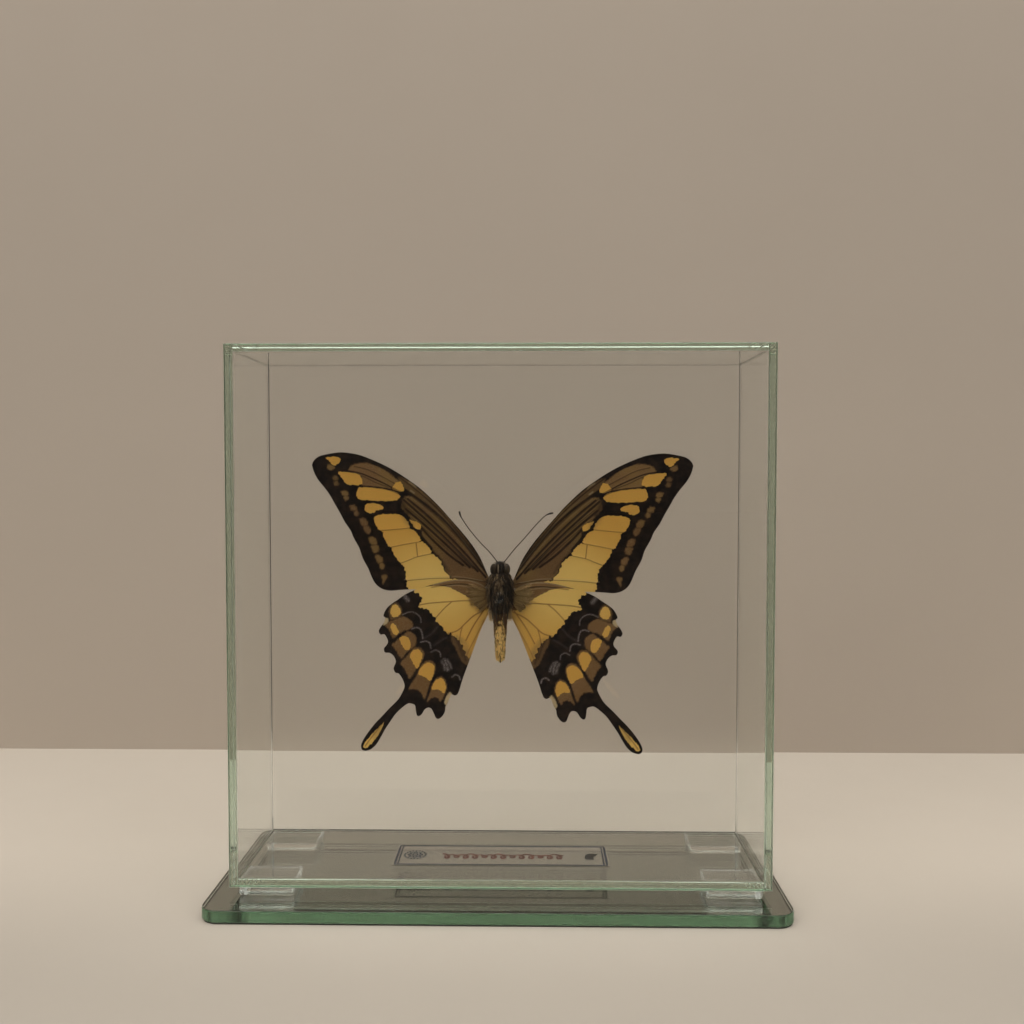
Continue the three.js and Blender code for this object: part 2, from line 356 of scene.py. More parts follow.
class Graph:
    """A node tree that is being wired. A Feed is a value, or a socket to link from."""

    def __init__(self, tree: bpy.types.NodeTree) -> None:
        """Keeps the tree."""
        self.tree = tree

    def node(self, kind: str, inputs: dict[str | int, Feed] | None = None,
             **settings: object) -> bpy.types.Node:
        """Adds a node.

        Args:
            kind: the node's type.
            inputs: what each input takes, by the input's name or number.
            settings: the node's own options.

        Returns:
            The node.
        """
        made = self.tree.nodes.new(kind)
        for key, value in settings.items():
            setattr(made, key, value)
        self.feed(made, inputs or {})
        return made

    def feed(self, node: bpy.types.Node, inputs: dict[str | int, Feed]) -> None:
        """Sets or links a node's inputs.

        Args:
            node: the node.
            inputs: what each input takes, by the input's name or number.
        """
        for key, value in inputs.items():
            if isinstance(value, bpy.types.NodeSocket):
                self.tree.links.new(value, node.inputs[key])
            else:
                node.inputs[key].default_value = value

    def maths(self, operation: str, a: Feed, b: Feed = 0.0, clamp: bool = False) -> bpy.types.NodeSocket:
        """The result of a sum on two values or sockets."""
        return self.node("ShaderNodeMath", {0: a, 1: b}, operation=operation, use_clamp=clamp).outputs[0]

    def mix(self, factor: Feed, a: Feed, b: Feed) -> bpy.types.NodeSocket:
        """Colour a where factor is 0, colour b where it is 1."""
        return self.node("ShaderNodeMix", {0: factor, 6: a, 7: b}, data_type="RGBA").outputs[2]

    def ramp(self, value: Feed, low: float, high: float, to_low: float = 0.0,
             to_high: float = 1.0) -> bpy.types.NodeSocket:
        """Value taken smoothly from the span low..high to the span to_low..to_high."""
        inputs = {0: value, 1: low, 2: high, 3: to_low, 4: to_high}
        return self.node("ShaderNodeMapRange", inputs, interpolation_type="SMOOTHSTEP").outputs[0]

    def noise(self, scale: Feed, detail: float = 3.0,
              vector: bpy.types.NodeSocket | None = None) -> bpy.types.NodeSocket:
        """Fractal noise about 0.5 over Object coordinates, or over vector."""
        inputs = {"Vector": vector or self.coordinates(), "Scale": scale, "Detail": detail}
        return self.node("ShaderNodeTexNoise", inputs).outputs[0]

    def coordinates(self) -> bpy.types.NodeSocket:
        """The piece's own Object coordinates."""
        return self.node("ShaderNodeTexCoord").outputs["Object"]

    def mask(self, name: str) -> bpy.types.NodeSocket:
        """A mask that the mesh carries."""
        return self.node("ShaderNodeAttribute", attribute_name=name).outputs["Fac"]

    def group(self, tree: bpy.types.NodeTree, inputs: dict[str | int, Feed]) -> bpy.types.Node:
        """Adds a shared group with its inputs set."""
        return self.node("ShaderNodeGroup", inputs, node_tree=tree)

    def bump(self, height: Feed, strength: float, distance: float) -> bpy.types.NodeSocket:
        """A normal tilted by a height, distance in metres."""
        inputs = {"Height": height, "Strength": strength, "Distance": distance}
        return self.node("ShaderNodeBump", inputs).outputs[0]


def new_group(
    name: str, inputs: dict[str, float | None], outputs: Sequence[str],
) -> tuple[bpy.types.NodeTree, Graph, bpy.types.Node, bpy.types.Node]:
    """Starts a shader node group.

    Args:
        name: the group's name.
        inputs: default of each number input by name; None makes a vector input.
        outputs: names of the number outputs.

    Returns:
        The tree, its graph, its input node and its output node.
    """
    tree = bpy.data.node_groups.new(name, "ShaderNodeTree")
    for label, default in inputs.items():
        kind = "NodeSocketVector" if default is None else "NodeSocketFloat"
        socket = tree.interface.new_socket(name=label, in_out="INPUT", socket_type=kind)
        if default is not None:
            socket.default_value = default
    for label in outputs:
        tree.interface.new_socket(name=label, in_out="OUTPUT", socket_type="NodeSocketFloat")
    graph = Graph(tree)
    return tree, graph, graph.node("NodeGroupInput"), graph.node("NodeGroupOutput")


class Effects:
    """The effects that several materials share, each a node group that is built once."""

    def __init__(self) -> None:
        """Builds the groups."""
        self.speckle = self._speckle()
        self.handling = self._handling()
        self.ground_edge = self._ground_edge()

    @staticmethod
    def _speckle() -> bpy.types.NodeTree:
        """Grain at a scale and at three times that scale, as a value about 0.5.

        Returns:
            The group.
        """
        tree, g, given, result = new_group("fine_speckle", {"Vector": None, "Scale": 500.0}, ["Value"])
        where, scale = given.outputs[:2]
        coarse = g.noise(scale, 2.0, where)
        fine = g.noise(g.maths("MULTIPLY", scale, 3.1), 1.0, where)
        both = g.maths("ADD", g.maths("MULTIPLY", coarse, 0.6), g.maths("MULTIPLY", fine, 0.4))
        g.feed(result, {0: both})
        return tree

    @staticmethod
    def _handling() -> bpy.types.NodeTree:
        """Faint wiping marks and specks of dust on something clear or polished, from 0 to 1.

        Returns:
            The group.
        """
        tree, g, given, result = new_group("handling_marks", {"Vector": None, "Amount": 1.0},
                                           ["Smudge", "Dust"])
        where, amount = given.outputs[:2]
        broad = g.node("ShaderNodeTexNoise", {"Vector": where, "Scale": 28.0, "Detail": 4.0,
                                             "Distortion": 1.2}).outputs[0]
        smudge = g.ramp(broad, 0.52, 0.72)
        cells = g.node("ShaderNodeTexVoronoi", {"Vector": where, "Scale": 190.0}).outputs["Distance"]
        dust = g.ramp(cells, 0.05, 0.03)
        g.feed(result, {0: g.maths("MULTIPLY", smudge, amount), 1: g.maths("MULTIPLY", dust, amount)})
        return tree

    @staticmethod
    def _ground_edge() -> bpy.types.NodeTree:
        """1 on the narrow slanted arrises of a plate, 0 on its faces and on its square edges.

        Returns:
            The group.
        """
        tree, g, given, result = new_group("ground_edge", {"Normal": None}, ["Arris"])
        parts = g.node("ShaderNodeSeparateXYZ", {0: given.outputs[0]})
        x, y, z = (g.maths("ABSOLUTE", s) for s in parts.outputs)
        flat = g.maths("MAXIMUM", g.maths("MAXIMUM", x, y), z)
        g.feed(result, {0: g.ramp(flat, 0.95, 0.8)})
        return tree


# ---- Finishes ----

Colour = tuple[float, float, float, float]


def rgb(red: float, green: float, blue: float) -> Colour:
    """A linear colour with full alpha."""
    return (red, green, blue, 1.0)


def start_material(
    name: str, **constants: float | Colour,
) -> tuple[Graph, bpy.types.Node, bpy.types.Node]:
    """Starts a material.

    Args:
        name: the material's name.
        constants: values for the Principled shader's sockets, with _ for a space.

    Returns:
        The material's graph, its Principled shader and its output.
    """
    material = bpy.data.materials.new(name)
    material.use_nodes = True
    material.node_tree.nodes.clear()
    graph = Graph(material.node_tree)
    inputs = {key.replace("_", " "): value for key, value in constants.items()}
    shader = graph.node("ShaderNodeBsdfPrincipled", inputs)
    output = graph.node("ShaderNodeOutputMaterial", {"Surface": shader.outputs[0]})
    return graph, shader, output


ROOM_COLOUR = rgb(0.36, 0.30, 0.24)


def unmirrored(graph: Graph) -> bpy.types.NodeSocket:
    """1 for a ray that has met nothing or has only passed through glass, else 0.

    Args:
        graph: the material's or the world's graph.

    Returns:
        The socket.
    """
    ray = graph.node("ShaderNodeLightPath").outputs
    turns = graph.maths("ADD", ray["Glossy Depth"], ray["Diffuse Depth"])
    return graph.maths("LESS_THAN", turns, 0.5)


def material_of(graph: Graph) -> bpy.types.Material:
    """The material whose tree a graph wires."""
    return next(m for m in bpy.data.materials if m.node_tree == graph.tree)


@dataclass(frozen=True)
class ClearFinish:
    """Something see-through: glass, film, plastic or adhesive, tinted by the way light goes in it."""

    name: str
    ior: float
    tint: Colour
    density: float
    face_roughness: float = 0.0
    arris_roughness: float = 0.3
    handling: float = 0.6
    side_roughness: float = 0.0

    def make(self, effects: Effects) -> bpy.types.Material:
        """Builds the material.

        Args:
            effects: the shared groups.

        Returns:
            The material.
        """
        g, shader, output = start_material(
            self.name, Base_Color=rgb(1, 1, 1), IOR=self.ior, Transmission_Weight=1.0, Metallic=0.0)
        normal = g.node("ShaderNodeNewGeometry").outputs["Normal"]
        arris = g.group(effects.ground_edge, {0: normal}).outputs[0]
        marks = g.group(effects.handling, {0: g.coordinates(), 1: self.handling})
        worn = g.maths("MULTIPLY", marks.outputs["Smudge"], 0.03)
        worn = g.maths("ADD", worn, g.maths("MULTIPLY", marks.outputs["Dust"], 0.12))
        rough = g.maths("ADD", worn, g.maths("MULTIPLY", arris, self.arris_roughness))
        if self.side_roughness:
            slope = g.maths("ABSOLUTE", g.node("ShaderNodeSeparateXYZ", {0: normal}).outputs[2])
            rough = g.maths("ADD", rough, g.ramp(slope, 0.5, 0.2, 0.0, self.side_roughness))
        rough = g.maths("ADD", rough, self.face_roughness, clamp=True)
        ripple = g.noise(9.0, 1.0)
        grind = g.maths("MULTIPLY", g.noise(2600.0, 2.0), arris)
        height = g.maths("ADD", g.maths("MULTIPLY", ripple, 0.25), g.maths("MULTIPLY", grind, 0.02))
        g.feed(shader, {"Roughness": rough, "Normal": g.bump(height, 0.35, 0.00002)})
        volume = g.node("ShaderNodeVolumeAbsorption", {"Color": self.tint, "Density": self.density})
        g.feed(output, {"Volume": volume.outputs[0]})
        return material_of(g)


@dataclass(frozen=True)
class MirrorCoating:
    """Silvering seen through the glass, with grey protective paint behind it and at its rim; the dark
    rim under the plate's edge is also painted shade for the gap between the plate and the table.
    """

    name: str = "mirror_coating"
    silver: Colour = rgb(0.465, 0.47, 0.455)
    # The mirror's back paint, which at the rim also stands as painted shade for the gap under the plate.
    paint: Colour = rgb(0.016, 0.018, 0.014)

    def make(self, effects: Effects) -> bpy.types.Material:
        """Builds the material.

        Args:
            effects: the shared groups.

        Returns:
            The material.
        """
        g, shader, _ = start_material(self.name)
        normal = g.node("ShaderNodeNewGeometry").outputs["Normal"]
        up = g.node("ShaderNodeSeparateXYZ", {0: normal}).outputs[2]
        silvered = g.ramp(up, 0.5, 0.9)
        grain = g.group(effects.speckle, {0: g.coordinates(), 1: 900.0}).outputs[0]
        paint = g.mix(grain, self.paint, rgb(0.035, 0.037, 0.032))
        silver = g.mix(g.noise(35.0, 4.0), self.silver, rgb(0.44, 0.445, 0.43))
        painted = g.maths("SUBTRACT", 1.0, silvered)
        haze = g.ramp(g.noise(60.0, 4.0), 0.5, 0.8, 0.0, 0.03)
        g.feed(shader, {
            "Base Color": g.mix(silvered, paint, silver),
            "Metallic": silvered,
            "Roughness": g.maths("ADD", haze, g.maths("MULTIPLY", painted, 0.6)),
            "Normal": g.bump(g.maths("MULTIPLY", grain, painted), 0.4, 0.00005),
        })
        return material_of(g)


@dataclass(frozen=True)
class Ink:
    """Printed ink on film, a little uneven in cover."""

    name: str
    colour: Colour
    thin: Colour

    def make(self, effects: Effects) -> bpy.types.Material:
        """Builds the material.

        Args:
            effects: the shared groups.

        Returns:
            The material.
        """
        g, shader, _ = start_material(self.name, Specular_IOR_Level=0.3)
        grain = g.group(effects.speckle, {0: g.coordinates(), 1: 2500.0}).outputs[0]
        g.feed(shader, {
            "Base Color": g.mix(g.ramp(grain, 0.4, 0.7), self.colour, self.thin),
            "Roughness": g.ramp(grain, 0.3, 0.7, 0.35, 0.6),
            "Normal": g.bump(grain, 0.3, 0.00001),
        })
        return material_of(g)


@dataclass(frozen=True)
class WingScales:
    """The scaled skin of a wing, coloured by the masks that its mesh carries."""

    name: str
    vein: Colour
    dusk: Colour = rgb(0.235, 0.135, 0.042)
    mauve: Colour = rgb(0.205, 0.108, 0.042)
    mealy: Colour = rgb(0.27, 0.185, 0.10)
    olive: Colour = rgb(0.25, 0.165, 0.065)
    ground: Colour = rgb(0.008, 0.004, 0.0025)
    ground_soft: Colour = rgb(0.022, 0.012, 0.007)
    yellow: Colour = rgb(0.67, 0.37, 0.075)
    lemon: Colour = rgb(0.81, 0.55, 0.16)
    cream: Colour = rgb(0.48, 0.37, 0.21)
    blue: Colour = rgb(0.32, 0.27, 0.255)

    def make(self, effects: Effects) -> bpy.types.Material:
        """Builds the material.

        Args:
            effects: the shared groups.

        Returns:
            The material.
        """
        g, shader, _ = start_material(
            self.name, Specular_IOR_Level=0.12, Sheen_Weight=0.02, Sheen_Roughness=0.35)
        where = g.coordinates()
        scales = g.group(effects.speckle, {0: where, 1: 4200.0}).outputs[0]
        patchy = g.noise(420.0, 3.0, where)
        cloud = g.noise(95.0, 2.0, where)
        belly = g.maths("SUBTRACT", 1.0, g.mask("dorsal"))

        def edge(mask: str, low: float, high: float, jitter: float = 0.7) -> bpy.types.NodeSocket:
            """A mask's edge, broken up by single scales."""
            loose = g.maths("MULTIPLY", g.maths("SUBTRACT", scales, 0.5), jitter)
            return g.ramp(g.maths("ADD", g.mask(mask), loose), low, high)

        colour = g.mix(g.ramp(patchy, 0.35, 0.75), self.ground, self.ground_soft)
        brown = g.mix(g.ramp(cloud, 0.4, 0.62), self.dusk, self.mauve)
        brown = g.mix(g.ramp(scales, 0.47, 0.64, 0.0, 0.6), brown, self.mealy)
        cover = g.maths("MULTIPLY", g.mask("dusk"), g.ramp(scales, 0.25, 0.6, 0.75, 1.1))
        dark_line = g.maths("MAXIMUM", g.mask("streak"), g.mask("vein"))
        streak = g.maths("SUBTRACT", 1.0, g.maths("MULTIPLY", dark_line, 0.92))
        cover = g.maths("MULTIPLY", g.maths("MULTIPLY", cover, streak), g.ramp(belly, 0, 1, 0.3, 1))
        colour = g.mix(cover, colour, brown)
        dusting = g.maths("MULTIPLY", g.mask("blue"), g.ramp(scales, 0.35, 0.62))
        colour = g.mix(dusting, colour, self.blue)
        gold = g.mix(g.mask("tone"), self.yellow, self.lemon)
        worn = g.mix(g.ramp(patchy, 0.45, 0.85, 0.0, 0.45), gold, self.dusk)
        gold = g.mix(g.ramp(scales, 0.3, 0.5), worn, gold)
        shade = g.maths("MULTIPLY", g.mask("shade"), g.ramp(patchy, 0.3, 0.62, 0.6, 1.1))
        gold = g.mix(g.maths("MULTIPLY", shade, 0.85), gold, self.olive)
        colour = g.mix(edge("pale", 0.36, 0.64), colour, gold)
        colour = g.mix(g.mask("cream"), colour, self.cream)
        line = g.maths("MULTIPLY", g.mask("vein"), g.mask("pale"))
        colour = g.mix(line, colour, self.vein)
        relief = g.maths("ADD", g.maths("MULTIPLY", scales, 0.7), g.maths("MULTIPLY", patchy, 0.5))
        g.feed(shader, {
            "Base Color": colour,
            "Roughness": g.ramp(scales, 0.3, 0.7, 0.58, 0.82),
            "Normal": g.bump(relief, 0.5, 0.00003),
        })
        return material_of(g)


@dataclass(frozen=True)
class HairFinish:
    """Hairs that run from dark to pale by the mask "tint", and pale a little towards the tip."""

    name: str
    dark: Colour
    pale: Colour
    roughness: float = 0.6

    def make(self, effects: Effects) -> bpy.types.Material:
        """Builds the material.

        Args:
            effects: the shared groups.

        Returns:
            The material.
        """
        g, shader, _ = start_material(self.name, IOR=1.45, Specular_IOR_Level=0.15)
        grain = g.group(effects.speckle, {0: g.coordinates(), 1: 1500.0}).outputs[0]
        share = g.maths("ADD", g.mask("tint"), g.maths("MULTIPLY", g.mask("tip"), 0.15))
        share = g.maths("ADD", share, g.maths("MULTIPLY", g.maths("SUBTRACT", grain, 0.5), 0.4))
        g.feed(shader, {
            "Base Color": g.mix(g.ramp(share, 0, 1), self.dark, self.pale),
            "Roughness": g.ramp(grain, 0.3, 0.7, self.roughness - 0.15, self.roughness + 0.1),
            "Normal": g.bump(grain, 0.3, 0.00002),
        })
        return material_of(g)


@dataclass(frozen=True)
class ShellFinish:
    """Horny insect skin: two colours split by the mask "mark", with pits and a dull gloss."""

    name: str
    plain: Colour
    marked: Colour
    roughness: float = 0.45
    grain: float = 1800.0
    relief: float = 0.00003
    mottle: float = 0.7
    spread: float = 0.15

    def make(self, effects: Effects) -> bpy.types.Material:
        """Builds the material.

        Args:
            effects: the shared groups.

        Returns:
            The material.
        """
        g, shader, _ = start_material(self.name, IOR=1.5, Specular_IOR_Level=0.3)
        where = g.coordinates()
        grain = g.group(effects.speckle, {0: where, 1: self.grain}).outputs[0]
        patchy = g.noise(self.grain * 0.3, 3.0, where)
        dim = tuple(c * 0.55 for c in self.plain[:3]) + (1.0,)
        plain = g.mix(g.ramp(patchy, 0.42, 0.68), self.plain, dim)
        share = g.maths("ADD", g.mask("mark"),
                        g.maths("MULTIPLY", g.maths("SUBTRACT", patchy, 0.5), self.mottle))
        split = g.ramp(share, 0.5 - self.spread, 0.5 + self.spread)
        height = g.maths("ADD", grain, g.maths("MULTIPLY", patchy, 1.5))
        g.feed(shader, {
            "Base Color": g.mix(split, plain, self.marked),
            "Roughness": g.ramp(grain, 0.3, 0.7, self.roughness - 0.1, self.roughness + 0.2),
            "Normal": g.bump(height, 0.6, self.relief),
        })
        return material_of(g)


@dataclass(frozen=True)
class StageFinish:
    """Plain matt floor or backdrop that runs into the colour of the room far from the object, by a
    painted glow.

    It is darker towards the front, painted shade, and dark to reflections and bounce light beyond that,
    also painted shade.
    """

    name: str
    colour: Colour
    roughness: float = 0.75
    # Painted shade: the colour that reflections and bounce light see on the floor in front.
    reflected_shade_colour: Colour = rgb(0.02, 0.019, 0.018)
    one_sided: bool = False

    def make(self, effects: Effects) -> bpy.types.Material:
        """Builds the material.

        Args:
            effects: the shared groups.

        Returns:
            The material.
        """
        g, shader, output = start_material(self.name, Specular_IOR_Level=0.25, Emission_Strength=1.0)
        shade = tuple(c * 0.94 for c in self.colour[:3]) + (1.0,)
        depth = g.node("ShaderNodeSeparateXYZ", {0: g.coordinates()}).outputs[1]
        plain = g.mix(g.noise(6.0, 4.0), self.colour, shade)
        # Painted shade: the floor's colour darkens towards the front.
        front_shade = tuple(c * 0.72 for c in self.colour[:3]) + (1.0,)
        plain = g.mix(g.ramp(depth, -0.075, 0.03), front_shade, plain)
        direct = unmirrored(g)
        # Painted shade: to reflected and bounced rays the floor in front turns dark.
        near = g.maths("MAXIMUM", g.ramp(depth, -0.16, -0.095), direct)
        # Painted light: far from the object the floor and backdrop turn black and glow with the room's
        # colour to direct rays.
        away = g.node("ShaderNodeVectorMath", {0: g.coordinates()}, operation="LENGTH")
        room_glow = g.maths("MULTIPLY", g.ramp(away.outputs["Value"], 0.55, 1.4), direct)
        black = rgb(0.0, 0.0, 0.0)
        lit = g.mix(near, self.reflected_shade_colour, plain)
        g.feed(shader, {
            "Base Color": g.mix(room_glow, lit, black),
            "Emission Color": g.mix(room_glow, black, ROOM_COLOUR),
            "Roughness": g.ramp(g.noise(40.0), 0.3, 0.7, self.roughness - 0.05, self.roughness + 0.1),
        })
        if self.one_sided:
            behind = g.node("ShaderNodeNewGeometry").outputs["Backfacing"]
            clear = g.node("ShaderNodeBsdfTransparent").outputs[0]
            skin = g.node("ShaderNodeMixShader", {0: behind, 1: shader.outputs[0], 2: clear})
            g.feed(output, {"Surface": skin.outputs[0]})
        material = material_of(g)
        material.cycles.emission_sampling = "NONE"
        return material


# ---- Wing markings ----


class Layer(Enum):
    """The colour layers of a wing, named as its mesh's masks."""

    PALE = "pale"
    DUSK = "dusk"
    CREAM = "cream"
    BLUE = "blue"
    VEIN = "vein"
    STREAK = "streak"
    SHADE = "shade"


SOFTNESS = {Layer.PALE: 0.22, Layer.DUSK: 0.32, Layer.CREAM: 0.16, Layer.BLUE: 0.24,
            Layer.VEIN: 0.12, Layer.STREAK: 0.16, Layer.SHADE: 0.9}


def knots(text: str) -> np.ndarray:
    """Points from a text of "out height" pairs parted by commas."""
    return np.array([pair.split() for pair in text.split(",")], float)


def nearest(points: np.ndarray, path: np.ndarray) -> tuple[np.ndarray, np.ndarray]:
    """Each point's distance to a path, and the path's nearest place.

    On the stretch from a to b the nearest place is a + t(b - a), with t the share of the point's
    projection, kept within 0 and 1.

    Args:
        points: places, one a row.
        path: the path's corners, one a row.

    Returns:
        The distances, and the nearest places.
    """
    best = np.full(len(points), np.inf)
    foot = np.zeros_like(points)
    for a, b in zip(path[:-1], path[1:]):
        stretch = b - a
        t = np.clip((points - a) @ stretch / max(stretch @ stretch, 1e-12), 0, 1)
        place_on = a + t[:, None] * stretch
        distance = np.linalg.norm(points - place_on, axis=1)
        closer = distance < best
        best[closer] = distance[closer]
        foot[closer] = place_on[closer]
    return best, foot


def inside(points: np.ndarray, outline: np.ndarray) -> np.ndarray:
    """Whether points lie in a closed outline, from how often a level ray crosses it.

    Args:
        points: places, one a row.
        outline: the outline's corners, one a row.

    Returns:
        True for each point with an odd number of crossings.
    """
    odd = np.zeros(len(points), bool)
    x, z = points.T
    for (ax, az), (bx, bz) in zip(outline, np.roll(outline, -1, axis=0)):
        if az != bz:
            crosses = (az > z) != (bz > z)
            odd ^= crosses & (x < ax + (z - az) / (bz - az) * (bx - ax))
    return odd


@dataclass(frozen=True)
class Patch:
    """A closed area of one layer, out from the body and up from its middle."""

    layer: Layer
    strength: float
    text: str
    teeth: float = 0.05

    def cover(self, points: np.ndarray) -> np.ndarray:
        """The patch's mask: a smooth step of the signed distance to its outline.

        Args:
            points: places on the wing, one a row.

        Returns:
            One value for each point.
        """
        outline = spline(knots(self.text), closed=True, steps=5)
        soft = SOFTNESS[self.layer]
        mask = np.zeros(len(points))
        low, high = outline.min(0) - soft, outline.max(0) + soft
        near = np.flatnonzero(((points > low) & (points < high)).all(1))
        close = points[near]
        distance, _ = nearest(close, np.vstack([outline, outline[:1]]))
        signed = np.where(inside(close, outline), distance, -distance)
        mask[near] = self.strength * smooth_step(signed, -soft, soft)
        return mask


@dataclass(frozen=True)
class Stroke:
    """A line of one layer along a path, out from the body and up from its middle."""

    layer: Layer
    strength: float
    width: float
    text: str
    soft: float | None = None

    def distance(self, points: np.ndarray, reach: float) -> np.ndarray:
        """Each point's distance to the path, or reach if it is further.

        Args:
            points: places on the wing, one a row.
            reach: the largest distance that matters.

        Returns:
            One value for each point.
        """
        path = spline(knots(self.text), steps=5)
        found = np.full(len(points), reach)
        low, high = path.min(0) - reach, path.max(0) + reach
        near = np.flatnonzero(((points > low) & (points < high)).all(1))
        found[near] = np.minimum(nearest(points[near], path)[0], reach)
        return found

    def cover(self, points: np.ndarray) -> np.ndarray:
        """The stroke's mask, full on its path, with a smooth step at half its width.

        Args:
            points: places on the wing, one a row.

        Returns:
            One value for each point.
        """
        soft = self.soft or SOFTNESS[self.layer]
        away = self.distance(points, self.width / 2 + 2 * soft)
        return self.strength * (1 - smooth_step(away, self.width / 2 - soft, self.width / 2 + soft))


def patches(text: str) -> tuple[Patch, ...]:
    """Patches from entries "layer strength teeth: outline" parted by semicolons.

    Args:
        text: the entries; the teeth may be left out.

    Returns:
        The patches in their order.
    """
    made = []
    for entry in text.split(";"):
        head, outline = entry.split(":")
        layer, strength, *teeth = head.split()
        made.append(Patch(Layer(layer), float(strength), outline, *map(float, teeth)))
    return tuple(made)


def strokes(text: str) -> tuple[Stroke, ...]:
    """Strokes from entries "layer strength width soft: path" parted by semicolons.

    Args:
        text: the entries; the softness may be left out.

    Returns:
        The strokes in their order.
    """
    made = []
    for entry in text.split(";"):
        head, path = entry.split(":")
        layer, strength, width, *soft = head.split()
        made.append(Stroke(Layer(layer), float(strength), float(width), path, *map(float, soft)))
    return tuple(made)


